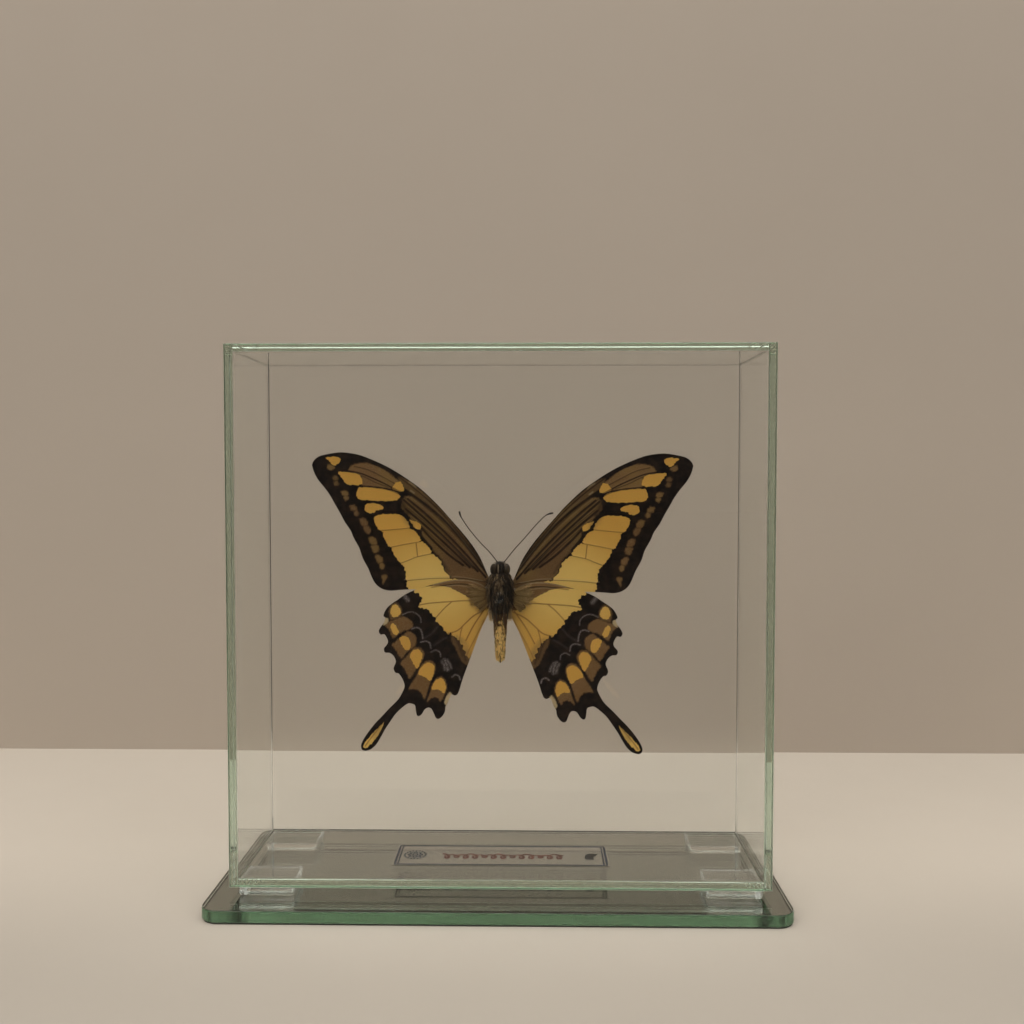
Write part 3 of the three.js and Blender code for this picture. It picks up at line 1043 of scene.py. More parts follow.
FOREWING_PATCHES = patches("""
    pale 1: 52.2 41.0, 50.7 41.3, 48.5 41.2, 47.8 40.5, 48.1 39.6, 49 38.9, 49.9 38.8, 50.6 39.4,
        51.4 40.2;
    pale 1: 48.5 36.6, 46.8 36.8, 44.4 36.5, 42.6 36, 41.6 35.1, 41.5 33.1, 45 32.9, 46.4 33.6, 47.4 35;
    pale 1: 32.1 32.7, 30.9 33.7, 29.9 33.8, 29.1 32.7, 28.8 31.5, 29.5 30.9, 30.7 31.1, 32.3 31.8;
    pale 1: 42.6 31.8, 41.1 32.2, 37.5 32, 33.6 31.4, 31.7 30.9, 30.2 30, 30.1 29.1, 31 28.4, 32.8 28.1,
        36.7 28.1, 40.9 28.4, 42.5 28.8, 43 30;
    pale 1: 40.3 27, 39.1 27.4, 37.3 27.3, 35.9 27, 34.9 26.2, 35.6 25.5, 37 25.3, 37.9 24.6, 39.1 24.4,
        40.3 25, 40.7 26;
    pale 1: 37.6 23.3, 36.1 24, 33.1 24.2, 30.5 24.1, 29.3 23.6, 28.1 22.4, 27.1 20.5, 27.4 20.2,
        30.1 19.9, 33.1 19.5, 36 19.4, 37 20.4, 37.8 22.1;
    pale 1: 27.2 22.6, 26.2 22.2, 25 21.9, 24 21.1, 23.7 20, 24.3 19.6, 25.3 19.9, 26.2 20.8, 26.8 21.8;
    pale 1: 34.9 18.8, 33.1 19.3, 30.1 19.6, 26.8 19.7, 25.5 19, 24.4 17.6, 23.8 16.4, 24.6 15.9,
        27.1 15.5, 30.1 15.1, 33.1 14.4, 34.3 16.1, 35.1 17.6;
    pale 1: 32.4 13.9, 30.7 14.6, 28 15, 24 15.9, 22.9 15.5, 21.7 14.5, 20.6 13, 21.1 12.4, 24.7 11.7,
        26.8 10.8, 29 9.6, 30 9.6, 31.2 11, 32.2 12.8;
    pale 1 0.12: 29.3 9, 27.8 9.9, 25.3 11.1, 22.6 11.7, 20.4 12.2, 19.2 11.3, 18 10.3, 17.4 8.6,
        16.4 6.6, 15.3 5.4, 18.2 5.2, 22.7 5, 26.3 4.5, 28.1 4.4, 28.4 6.2, 28.7 8;
    pale 1 0.12: 28.1 4, 26.3 4.2, 22.7 4.6, 18.2 4.8, 14.6 4.8, 11.6 3.8, 12.2 0.8, 21.2 0.8, 26.6 0.8,
        27.9 2.4;
    shade 0.6: 29.6 24.6, 26.6 22.6, 25.8 20.6, 26.6 19.6, 28.6 21.6;
    dusk 0.8: 51.6 39, 49.8 38.4, 49.5 37.8, 50.3 37.4, 51.5 37.5;
    dusk 1: 45.2 37.7, 44.1 38.9, 42.6 39.2, 40.8 39.5, 38.7 39, 36.3 38.2, 34.5 37.2, 32.7 35.9,
        30.9 34.4, 30.3 33.8, 32.1 32.6, 32.7 31.8, 34.5 32, 37.5 32.3, 41.4 32.8, 41.5 35.3, 42.9 36.2,
        45.3 36.9;
    dusk 0.6: 50.1 35.4, 48.9 35.6, 48.5 34.7, 49.2 34.2, 50 34.5;
    dusk 0.6: 49.8 33.8, 48.8 34.1, 48.3 33.2, 49.1 32.6, 49.7 32.9;
    dusk 0.95: 47.6 30.9, 46.5 31.2, 45.7 30.8, 45.4 29.9, 46.4 29.6, 47.3 30;
    dusk 0.95: 46.9 29.3, 45.7 29.6, 45.4 28.8, 46 28.2, 46.6 28.4;
    dusk 0.8: 45.1 26.6, 43.9 26.9, 43 26.1, 43 25.2, 44.2 25.2, 44.9 25.7;
    dusk 0.8: 43.9 24.8, 42.8 25.1, 42.4 24.2, 43 23.6, 43.7 23.9;
    dusk 0.8: 42.1 22.7, 40.9 23, 39.9 22.1, 39.7 20.9, 40.9 20.6, 41.8 21.3;
    dusk 0.8: 41.1 20.3, 39.7 20.6, 38.8 19.5, 39.1 18.3, 40.2 18.6;
    dusk 0.85: 39.4 17.1, 38.1 17.4, 37.2 16.4, 37 15.2, 38.5 15, 39.3 16.1;
    dusk 0.85: 38.7 14.6, 37 14.9, 36.3 14, 36.8 12.8, 38 12.6, 38.4 13.7;
    dusk 0.9: 37.5 11.6, 36.5 11.9, 35.4 11, 35.3 9.8, 36.5 9.5, 37.2 10.4;
    dusk 0.9: 36.3 9.2, 35.3 9.5, 34.8 8.6, 35.4 7.5, 36 8;
    dusk 0.75: 35.6 5.7, 34.4 6, 33.8 5.3, 34.5 4.4, 35.2 3.2, 35.4 4.4;
    dusk 0.9: 27.1 23.7, 25.7 23.3, 24.4 22, 25 21.8, 26.5 22.4;
    dusk 0.7 0.12: 29.3 28.7, 27.7 29.6, 25.3 29.3, 22 26.9, 17.8 22.7, 13.6 18.4, 9.7 13.7, 6.5 9.2,
        4.4 5.9, 5 4.7, 9.2 5, 13.4 5.1, 15.5 5.9, 16.7 8, 17.8 10.6, 19.3 12.2, 20.8 14.2, 23.1 17,
        23.8 19.7, 25.9 22.1, 28 24.2, 29.5 26.3;
    dusk 0.8: 3.5 7.1, 3.5 2.6, 6.8 0.8, 12.2 0.8, 14.6 3.8, 14.9 5.1, 11.6 7.1, 8.9 8.3, 6.5 8.6;
    dusk 0.5: 30.6 35.3, 27.6 34.2, 23.5 30.9, 19.3 27.2, 15.1 22.6, 11.2 17.8, 7.6 12.7, 3.5 6.5,
        4.4 6.1, 9.1 12.5, 13.6 17.8, 18.1 22.6, 22.6 26.9, 26.5 29.9, 29.1 32.3""")

FOREWING_STROKES = strokes("""
    pale 1 0.8: 35.2 19.2, 31.3 19.55, 27.6 20;
    pale 1 0.8: 32.2 14.25, 29.2 14.95, 25 15.7;
    pale 1 0.8: 29.4 9.4, 27.4 10.2, 24.9 11.3, 21.2 12.1;
    pale 1 0.8: 27.6 4.25, 26.3 4.35, 24.2 4.6, 19.7 4.9, 15.6 5;
    vein 1 0.2: 36.7 19.2, 31.3 19.6, 26.5 20.1;
    vein 1 0.2: 33.4 14.1, 29.2 15, 24.1 15.9;
    vein 1 0.2: 30.5 9.2, 27.4 10.4, 24.9 11.4, 20.2 12.4;
    vein 1 0.24: 25.2 15.4, 24.8 11.5;
    vein 1 0.2: 29 4.1, 26.3 4.4, 24.2 4.6, 19.7 4.9, 15.2 5, 10.7 4.9, 4.1 3.8;
    vein 1 0.45: 46.2 37.2, 42 36.4, 38.4 35, 34.5 33.2, 31.2 31.4, 29.2 30.5;
    vein 1 0.48: 47.1 32.6, 42 32.5, 37.5 32.2, 33 31.4, 29.8 30;
    streak 1 0.76: 3.8 6.2, 9.1 13.6, 15.1 20.6, 21.1 26, 25.6 29.4, 28.8 31.7;
    streak 1 0.62: 4.4 5.3, 10.6 12.5, 16.6 18.8, 22.6 24.5, 27.7 28.7;
    streak 1 0.72: 6.8 7.1, 13.6 14, 19.6 20, 25.6 25.5, 28.9 28.4;
    streak 1 0.72: 9.2 8.3, 16.6 15.4, 22.6 20.9, 28.3 25.7;
    streak 1 0.7: 11.2 8.9, 15.7 12.2, 20.5 16.7, 24.1 20.6;
    streak 0.6 0.5 0.5: 15.5 7.1, 17.8 10.7, 20.8 14;
    streak 1 0.9: 20.8 14, 23.8 17.6, 25.9 20.9, 28.6 23.9, 30.7 25.4;
    streak 0.9 1.2 1.1: 27.6 24.6, 28.8 26.4, 29.6 28.6, 29 30;
    streak 1 0.3: 3.8 6.8, 8.5 13.7, 13.6 20, 18.1 25.1, 22.6 29.3, 27.6 33.3, 31.5 36;
    streak 0.8 0.24: 5.4 6.4, 12 13.6, 18.1 19.8, 24 25.2, 28.4 29;
    streak 0.8 0.24: 8.2 7.8, 15 15, 21 20.6, 27.4 25.9;
    streak 0.75 0.22: 10.4 8.6, 16.2 14, 21.6 18.8, 26.6 23.2;
    streak 0.85 0.24: 4 6, 8.8 12.6, 14.8 19.4, 21.4 25.6, 27.4 30.2;
    streak 0.8 0.3: 45 36.2, 41.4 35.6, 37.2 33.6, 33.4 32.2;
    streak 0.8 0.28: 43.6 38.4, 39.6 37.4, 35.4 35.4, 31.4 33.2;
    cream 0.42 0.3 0.25: 27.3 33.7, 26.3 33.1, 25.2 32.2;
    cream 0.5 0.34 0.25: 26.8 31.2, 25.8 30.5;
    cream 0.45 0.14: 28.8 4.5, 24.2 5, 19.7 5.3, 15.2 5.4, 10.7 5.2, 5.4 4.2;
    cream 0.2 0.1: 5.2 6.9, 10.2 13.4, 15.6 19.4, 21.4 24.8, 26.8 29.2;
    cream 0.18 0.1: 8.2 8.6, 15 15.2, 21 20.8, 26.4 25.6;
    cream 0.22 0.1: 3.6 6.7, 8.6 13, 13.9 19.6, 18.4 24.6, 23 28.8""")

HINDWING_PATCHES = patches("""
    pale 1 0.22: 26 1.8, 24.6 0.5, 23.9 -0.6, 23.6 -1.9, 24.4 -3.6, 23 -4, 21.7 -4.3, 20.9 -5.3,
        20 -6.6, 19 -7.7, 18.2 -9, 17.2 -10.1, 16 -11.3, 14.6 -11.7, 13.1 -12.9, 11.8 -14.6, 11 -16.1,
        10.4 -17.6, 9.5 -18.8, 7.4 -16.7, 2.6 -5.2, 2.6 -3.7, 4.4 -3.6, 6.8 -3.9, 8 -2.2, 9.5 -0.9,
        11.6 0.6, 14.6 1.8, 18.2 2.3, 21.8 2.3, 24.2 2;
    shade 0.7: 13.4 -12.4, 11.2 -13.2, 9.4 -15.6, 9 -19, 10.6 -19.6, 12.6 -15.4;
    pale 1: 32.9 -4.4, 32.3 -3.3, 31.4 -2.9, 30.5 -3.5, 29.9 -4.8, 30.1 -5.9, 31 -6.6, 32.2 -6.6,
        32.9 -5.7;
    pale 1: 32.9 -9.1, 32.2 -8.5, 31.6 -9, 31 -10, 30.6 -10.7, 30.7 -11.6, 31.5 -12.1, 32.2 -11.5,
        32.8 -10.3;
    pale 1: 30.4 -13, 29.4 -12.5, 28.2 -12.6, 27.3 -13.4, 27 -14.6, 27.1 -16, 27.9 -16.7, 28.6 -16.6,
        29.4 -15.4, 30.1 -14;
    pale 1: 27.1 -17.8, 26.1 -16.7, 24.7 -16.4, 23.7 -17.2, 23.4 -18.6, 24 -20.4, 24.7 -21.9,
        25.3 -22.1, 26.2 -20.5, 27 -19;
    pale 1: 24.6 -23.9, 24.1 -22.3, 23.1 -21, 21.9 -20.4, 20.7 -20.5, 19.8 -21.6, 19.9 -23.2,
        20.5 -24.8, 21.2 -25.8, 22.5 -24.9, 23.8 -24.3;
    pale 1: 20.7 -27.8, 19.9 -26.3, 18.9 -25.4, 17.8 -25, 16.9 -25.8, 16.4 -27.2, 16.5 -28.7,
        16.9 -29.7, 18 -28.8, 19.3 -28.4, 20.4 -28.7;
    pale 1: 35 -38.5, 36.6 -40, 38.2 -41.5, 39.8 -43.4, 40.9 -44.8, 41.3 -46, 40.9 -46.5, 40.1 -46.1,
        39 -45.1, 37.7 -43.6, 36.4 -41.5, 35.5 -40;
    shade 0.55: 34.4 -37.4, 36.4 -38.6, 38.9 -42, 37.8 -43.6, 35.8 -41.4;
    dusk 1: 26.6 1.2, 23 2.3, 20 3.2, 16.4 4.1, 12.8 4.6, 9.2 4.4, 5 2.9, 2.6 0.8, 2.6 -3.7, 4.4 -3.6,
        6.8 -3.9, 8 -2.2, 9.5 -0.9, 11.6 0.6, 14.6 1.8, 18.2 2.3, 21.8 2.3, 24.5 1.7;
    dusk 0.55: 14.6 -11.9, 13.1 -12.6, 11.6 -14, 10.7 -16.1, 9.8 -18.2, 8.9 -19.1, 9.8 -21.2,
        11.3 -20.3, 12.5 -18.2, 13.4 -16.1, 14.6 -14;
    dusk 0.7: 33.4 -5, 32.8 -3.2, 31.4 -2.4, 30.1 -3.3, 29.5 -5, 29.8 -6.3, 31.1 -7.1, 32.7 -7.5,
        33.2 -6.5;
    dusk 1: 34.5 -9.2, 33.3 -8.1, 31.7 -7.5, 30.2 -6.8, 28.7 -6.6, 27.4 -7.3, 26.4 -8.4, 26.3 -9.5,
        27.2 -10.3, 29.1 -10.9, 30.9 -12.1, 32.1 -13.1, 32.8 -12.1, 33.3 -10.7;
    dusk 1: 32.5 -15.1, 31.5 -14.2, 30.3 -13, 28.9 -11.8, 27.5 -11, 26.3 -11.5, 25.4 -12.5, 25.2 -13.9,
        25.6 -15.2, 26.8 -16.3, 28.2 -17.4, 29.5 -19, 30.4 -18.3, 31.5 -16.5;
    dusk 1: 30 -20.7, 28.8 -19.2, 27.3 -17.5, 26.4 -16.4, 25.2 -15.8, 23.8 -16.1, 22.9 -17.5,
        23.2 -19.2, 24.3 -21, 25.5 -22.6, 27.2 -25.2, 28.1 -23.6, 29 -21.9;
    dusk 1: 27.5 -28.4, 26.4 -26.3, 25.2 -24.3, 24.3 -22.2, 23.1 -20.5, 21.9 -19.8, 20.4 -19.9,
        19.5 -21.4, 19.8 -23.4, 21 -25.8, 21.7 -28.2, 22.8 -31.3, 23.7 -29.6, 24.8 -28.6, 26.1 -28.3;
    dusk 1: 21.9 -32, 21.4 -30.1, 20.7 -27.6, 19.9 -26, 18.9 -24.9, 17.7 -24.6, 16.6 -25.7, 16.2 -27.2,
        16.3 -28.8, 17.8 -32, 18.9 -31.1, 20.4 -30.9;
    cream 1: 15.3 -29.3, 14.5 -30, 15.1 -31, 15.7 -32, 16.2 -33.1, 16.8 -32.8, 16.6 -31.4, 16 -30.2;
    cream 1: 34.7 -6.9, 33.7 -7.1, 33.6 -8, 34.3 -8.9, 35.1 -9.1, 34.9 -7.8""")

HINDWING_STROKES = strokes("""
    pale 1 1: 25.4 1.0, 23.6 1.6, 21 2.1, 18 2.2, 15 1.7;
    shade 0.75 0.8 1.3: 3.5 -4.4, 5.6 -9.4, 7.9 -15.4, 10 -21;
    streak 0.8 0.4 0.5: 13.6 -12.6, 12.4 -15.2, 11.4 -18.2;
    streak 0.8 0.5 0.5: 11.8 -14.2, 11.2 -16.6, 10.4 -19.6;
    cream 0.85 0.2: 3.5 1.5, 6.2 3.35, 9.2 4.25, 12.8 4.45, 16.4 3.95, 20 3.05;
    cream 0.62 0.16: 6.4 0.4, 8.2 1.7, 10 2.5, 13.2 2.9, 16.5 2.6;
    blue 1 0.8 0.7: 28.7 -0.4, 27.7 -1.6;
    blue 0.95 0.24: 29.3 -6, 27.8 -5.3, 26.3 -5.2, 24.8 -5.9, 23.9 -7.1, 23.8 -8.3;
    blue 1 0.34: 26.5 -10.2, 25.3 -9.8, 24.1 -10.2, 23.5 -11.6, 23.3 -13.1;
    blue 0.95 0.34: 23.9 -14.2, 22.4 -13.9, 21.2 -14.5, 20.8 -16;
    blue 0.8 0.3: 20.8 -17.2, 19.4 -16.6, 18.2 -17.2, 17.9 -18.5;
    blue 0.95 0.5 0.6: 17.5 -20, 16.9 -21.2, 16.7 -22.4;
    blue 1 0.6 0.6: 16.8 -19.4, 16.1 -20.8, 15.8 -22.6;
    blue 0.9 0.45 0.5: 16 -19.5, 15.2 -20.8, 14.8 -22;
    blue 0.85 0.38: 14.5 -24.7, 13.6 -24, 12.5 -24.4, 12.1 -25.5;
    blue 0.2 0.4 0.5: 23 -13.1, 20.6 -11.6, 18.8 -9.5;
    blue 0.18 0.4 0.5: 20 -15.2, 17.9 -13.7, 16.1 -12.8;
    vein 1 0.33: 24.5 -3.1, 21.2 -2.5, 15.2 -2, 9.2 -1.7, 4.4 -2.8;
    vein 1 0.3: 14.6 -2.1, 16.7 -3.9, 19.4 -6.9;
    vein 1 0.36: 3.8 -4, 7.7 -6, 10.4 -8.4, 12.8 -10.6, 16.1 -11.7;
    vein 1 0.3: 11.3 -9.2, 11.9 -11.3, 12.4 -14.3;
    vein 0.8 0.3: 3.8 -5.5, 5.9 -9.7, 8.3 -14.3, 10.3 -18.5;
    vein 1 0.36: 4.4 -3.7, 8 -9.1, 10.4 -13.7;
    vein 1 0.3: 3.5 0.8, 7.4 2.6, 11.6 3.3, 15.8 3, 20.6 2.3;
    vein 1 0.27: 34.5 -37.7, 37.1 -40.9, 39.4 -43.8, 40.7 -45.7""")


FOREWING_LEADING = (
    "2.6 3.6, 3.5 5.3, 6.1 11.2, 9.1 15.8, 12.1 19.5, 15.1 22.9, 18.1 26.3, 21.1 29.3, 23.9 31.8, "
    "27 34.1, 30 36.1, 33 37.9, 36 39.4, 39 40.7, 42 41.8, 45 42.4, 48 42.6, 51 42.2, 54 41.5, "
    "55.7 40.3, 56.4 38.9")
FOREWING_TRAILING = (
    "2.6 2.7, 3.5 2.6, 7.7 2, 13.7 1.7, 19.7 1.5, 26 1.6, 30.2 1.4, 33.2 1.2, 35.6 1.8, 37.4 3.2, "
    "38.5 5.1, 39.6 7.8, 41.3 11, 42.3 14, 44 17.1, 44.9 19.3, 46.6 21.8, 48 24.5, 49.6 27.3, "
    "50.8 29.5, 52.4 31.8, 54.5 34.4, 55.7 36.6, 56.4 38.9")
HINDWING_LEADING = (
    "2.6 0.8, 3.3 1.4, 6.2 3.5, 9.2 4.4, 12.8 4.6, 16.4 4.1, 20 3.2, 23 2.3, 26 1.3, 28.7 0, "
    "30.8 -1.5, 32.6 -2.7, 34.1 -4.1, 35.1 -6.2, 34.5 -6.9, 34.9 -8.3, 35.8 -9.5, 36.5 -10.9, "
    "35.9 -12, 34.8 -11.9, 33.8 -13.7, 34 -14.9, 35 -16.2, 34.6 -17.4, 33.3 -17.5, 32.1 -18.4, "
    "31.4 -20.1, 32.1 -22.1, 31.5 -23.5, 30.6 -23.7, 29.4 -25.4, 28.8 -27.4, 29.4 -29.2, "
    "30.8 -31.6, 33.2 -34, 35.5 -36.5, 37.6 -38.7, 39.6 -41.2, 41.2 -43.6, 42 -45.5, 41.7 -46.8, "
    "40.7 -47.2")
HINDWING_TRAILING = (
    "2.6 -1.8, 3.3 -2.2, 3.5 -5.2, 4.4 -7.3, 5.6 -9.8, 6.8 -12.8, 7.9 -15.8, 9.1 -19.1, 10 -21.6, "
    "10.9 -24, 11.6 -26.1, 12.2 -28.2, 12.8 -29.7, 13.6 -30.3, 14.7 -30, 15.3 -31, 15.9 -32.6, "
    "16.5 -33.7, 16.7 -35.2, 17.5 -36.6, 18.6 -37.4, 19.5 -37, 20.1 -35.6, 20.8 -34.3, 21.8 -34, "
    "22.8 -34.6, 23.6 -35.9, 24.6 -36.6, 25.2 -36.1, 25.5 -34.6, 25.7 -33.3, 26.7 -32.8, "
    "27.9 -32.8, 29.9 -34.3, 31.6 -36, 33.2 -38.3, 34.8 -40.7, 36.1 -43.1, 37.5 -45.3, "
    "39.1 -46.7, 40.7 -47.2")


# ---- Case, base, pads and label ----


@dataclass
class MirrorBase:
    """The thick mirror that everything stands on: clear plate over a silvered, painted back."""

    middle: tuple[float, float] = (-0.7, 0.0)
    half_x: float = 85.5
    half_y: float = 34.2
    corner: float = 5.5
    upper_arris: float = 0.35
    lower_arris: float = 0.12
    glass_bottom: float = 0.6
    top: float = 4.0
    coating_gap: float = 0.03
    coating_rim: tuple[tuple[float, float], ...] = ((0.55, 0.0), (0.4, 0.12))
    coating_inset: float = 0.35

    def build(self, glass: bpy.types.Material, coating: bpy.types.Material) -> None:
        """Builds the plate and its coating.

        Args:
            glass: finish of the plate.
            coating: finish of its back.
        """
        low, wide, narrow = self.glass_bottom, self.upper_arris, self.lower_arris
        turn = np.linspace(0, math.pi / 2, 7)
        profile = [(narrow, low), (0.0, low + narrow)]
        profile += list(zip(wide * (1 - np.cos(turn)), self.top - wide + wide * np.sin(turn)))
        plate = slab(self.half_x, self.half_y, self.corner, profile, self.middle)
        place(plate.to_object("mirror_glass", 12.0), glass, "mirror_glass", "mirror_base")
        # The backing's near-black rim below the glass is the mirror's back paint and also painted shade
        # for the gap under the plate.
        back = slab(self.half_x, self.half_y, self.corner,
                    [*self.coating_rim, (self.coating_inset, low - self.coating_gap)], self.middle)
        place(back.to_object("mirror_backing_gap_shade", 12.0), coating, "mirror_glass", "mirror_base")


@dataclass
class Pads:
    """Four soft clear pads with rounded rims between the base and the case."""

    half_x: float = 8.25
    half_y: float = 7.0
    corner: float = 1.2
    low: float = 4.02
    high: float = 6.48
    rim: float = 0.45

    def build(self, finish: bpy.types.Material) -> None:
        """Builds a pad over each pad solid of the frame.

        Args:
            finish: the pads' finish.
        """
        turn = np.linspace(0, math.pi / 2, 7)
        inset, rise = self.rim * (1 - np.cos(turn)), self.rim * np.sin(turn)
        profile = list(zip(inset, self.low + self.rim - rise))[::-1]
        profile += zip(inset, self.high - self.rim + rise)
        for node in ("pad_front_left", "pad_front_right", "pad_back_left", "pad_back_right"):
            low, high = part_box(node)
            middle = tuple((np.array(low[:2]) + np.array(high[:2])) / 2 / MM)
            pad = slab(self.half_x, self.half_y, self.corner, profile, middle)
            place(pad.to_object(f"soft_{node}", 40.0), finish, "clear_pad", node)


@dataclass
class GlassCase:
    """The six panes, whose shapes are the frame's own."""

    panes: tuple[str, ...] = (
        "bottom_pane", "top_pane", "front_pane", "back_pane", "left_pane", "right_pane")

    def dress(self, nodes: dict[str, bpy.types.Object], glass: bpy.types.Material) -> None:
        """Gives each pane its glass.

        Args:
            nodes: the frame's objects by name.
            glass: the finish.
        """
        for name in self.panes:
            pane = nodes[name]
            pane.data.materials.clear()
            pane.data.materials.append(glass)
            log.info("%s: dressed", name)


@dataclass
class Label:
    """A clear film with a plain printed border, a rosette, a scroll and a small leaf."""

    middle_y: float = -2.0
    half_x: float = 33.5
    half_y: float = 8.5
    low: float = 8.875
    high: float = 8.9
    line: float = 0.7
    end_line: float = 0.4
    margin: float = 0.9
    dots: int = 20
    coils: int = 13

    def ribbon(self, path: np.ndarray, width: np.ndarray | float, closed: bool = False) -> Shell:
        """A flat strip of ink along a path: path +- width / 2 across, between low and high.

        Args:
            path: the strip's middle line, as rows of x and y.
            width: its width, one value or one for each path point.
            closed: whether it runs on from its end to its start.

        Returns:
            A closed shell.
        """
        ends = np.vstack([path[-1:], path, path[:1]]) if closed else path
        along = np.gradient(ends, axis=0)
        along = along[1:-1] if closed else along
        along /= np.linalg.norm(along, axis=1, keepdims=True)
        across = np.column_stack([-along[:, 1], along[:, 0]]) * np.broadcast_to(
            np.asarray(width, float) / 2, len(path))[:, None]
        corners = [(path - across, self.low), (path + across, self.low),
                   (path + across, self.high), (path - across, self.high)]
        rings = np.stack([np.column_stack([p, np.full(len(p), z)]) for p, z in corners], axis=1)
        if not closed:
            return loft(rings)
        index = np.arange(rings.shape[0] * 4).reshape(-1, 4)
        on, after = np.roll(index, -1, axis=0), np.roll(index, -1, axis=1)
        quads = np.stack([index, after, np.roll(after, -1, axis=0), on], axis=-1).reshape(-1, 4)
        return Shell(rings.reshape(-1, 3), quads).outward()

    def rail(self, half_x: float, half_y: float, width: float) -> Shell:
        """A printed rectangle about the label's middle.

        Args:
            half_x: half its length.
            half_y: half its depth.
            width: the line's width.

        Returns:
            The ink.
        """
        corners = np.array([(-1, -1), (1, -1), (1, 1), (-1, 1)]) * (half_x, half_y)
        sides = [np.linspace(corners[i], corners[(i + 1) % 4], 12, endpoint=False) for i in range(4)]
        return self.ribbon(np.vstack(sides) + (0, self.middle_y), width, closed=True)

    def border(self) -> Shell:
        """Long single lines, and doubled lines at both ends.

        Returns:
            The ink.
        """
        outer = self.rail(self.half_x - self.margin, self.half_y - 0.75, self.line)
        ends = []
        for side in (LEFT, RIGHT):
            x = side * (self.half_x - 2 * self.margin)
            span = self.half_y - self.margin
            path = np.column_stack([np.full(9, x), self.middle_y + np.linspace(-span, span, 9)])
            ends.append(self.ribbon(path, self.end_line))
        return outer.joined(*ends)

    def rosette(self) -> Shell:
        """A dotted ring about a small eight-lobed ring: radius 1.9 + 0.42 cos 8a.

        Returns:
            The ink.
        """
        middle = np.array([-self.half_x + 6.4, self.middle_y])
        angle = np.arange(96) * 2 * math.pi / 96
        circle = np.column_stack([np.cos(angle), np.sin(angle)])
        lobes = middle + circle * (1.9 + 0.42 * np.cos(8 * angle))[:, None]
        parts = [self.ribbon(lobes, 0.5, closed=True),
                 self.ribbon(middle + circle * 0.8, 0.5, closed=True)]
        for turn in np.arange(self.dots) * 2 * math.pi / self.dots:
            spot = middle + 3.3 * np.array([math.cos(turn), math.sin(turn)])
            parts.append(self.ribbon(spot + circle[::12] * 0.2, 0.38, closed=True))
        return parts[0].joined(*parts[1:])

    def scroll(self) -> Shell:
        """A running scroll: a coiling line that swells and thins, along the label's middle.

        Returns:
            The ink.
        """
        t = np.linspace(0, 1, 480)
        phase = t * 2 * math.pi * self.coils
        x = -18.5 + 38.0 * t + 1.25 * np.sin(phase)
        y = self.middle_y - 1.0 + 1.9 * np.cos(phase) * (0.75 + 0.25 * np.cos(phase / 3))
        width = 0.36 + 0.62 * np.abs(np.sin(phase / 2 + 0.6))
        return self.ribbon(np.column_stack([x, y]), width)

    def leaf(self) -> Shell:
        """Two small pointed leaves: width 3.4 sin(pi t) (1 - t/3) along a stem.

        Returns:
            The ink.
        """
        t = np.linspace(0.02, 0.98, 24)
        parts = []
        for lean, length in ((0.45, 4.6), (-0.75, 3.8)):
            direction = np.array([math.cos(lean), math.sin(lean)])
            root = np.array([self.half_x - 7.4, self.middle_y - 0.6])
            stem = root + t[:, None] * length * direction
            parts.append(self.ribbon(stem, 3.4 * np.sin(math.pi * t) * (1 - t / 3)))
        return parts[0].joined(parts[1])

    def build(self, nodes: dict[str, bpy.types.Object], film: bpy.types.Material,
              inks: dict[str, bpy.types.Material]) -> None:
        """Dresses the film and prints on it.

        Args:
            nodes: the frame's objects by name.
            film: finish of the film.
            inks: the inks by name.
        """
        nodes["label"].data.materials.clear()
        nodes["label"].data.materials.append(film)
        prints = (("border", self.border(), "slate"), ("rosette", self.rosette(), "slate"),
                  ("scroll", self.scroll(), "russet"), ("leaf", self.leaf(), "dark"))
        for name, shape, ink in prints:
            place(shape.to_object(f"label_{name}", 30.0), inks[ink], "printed_film")


# ---- Butterfly ----


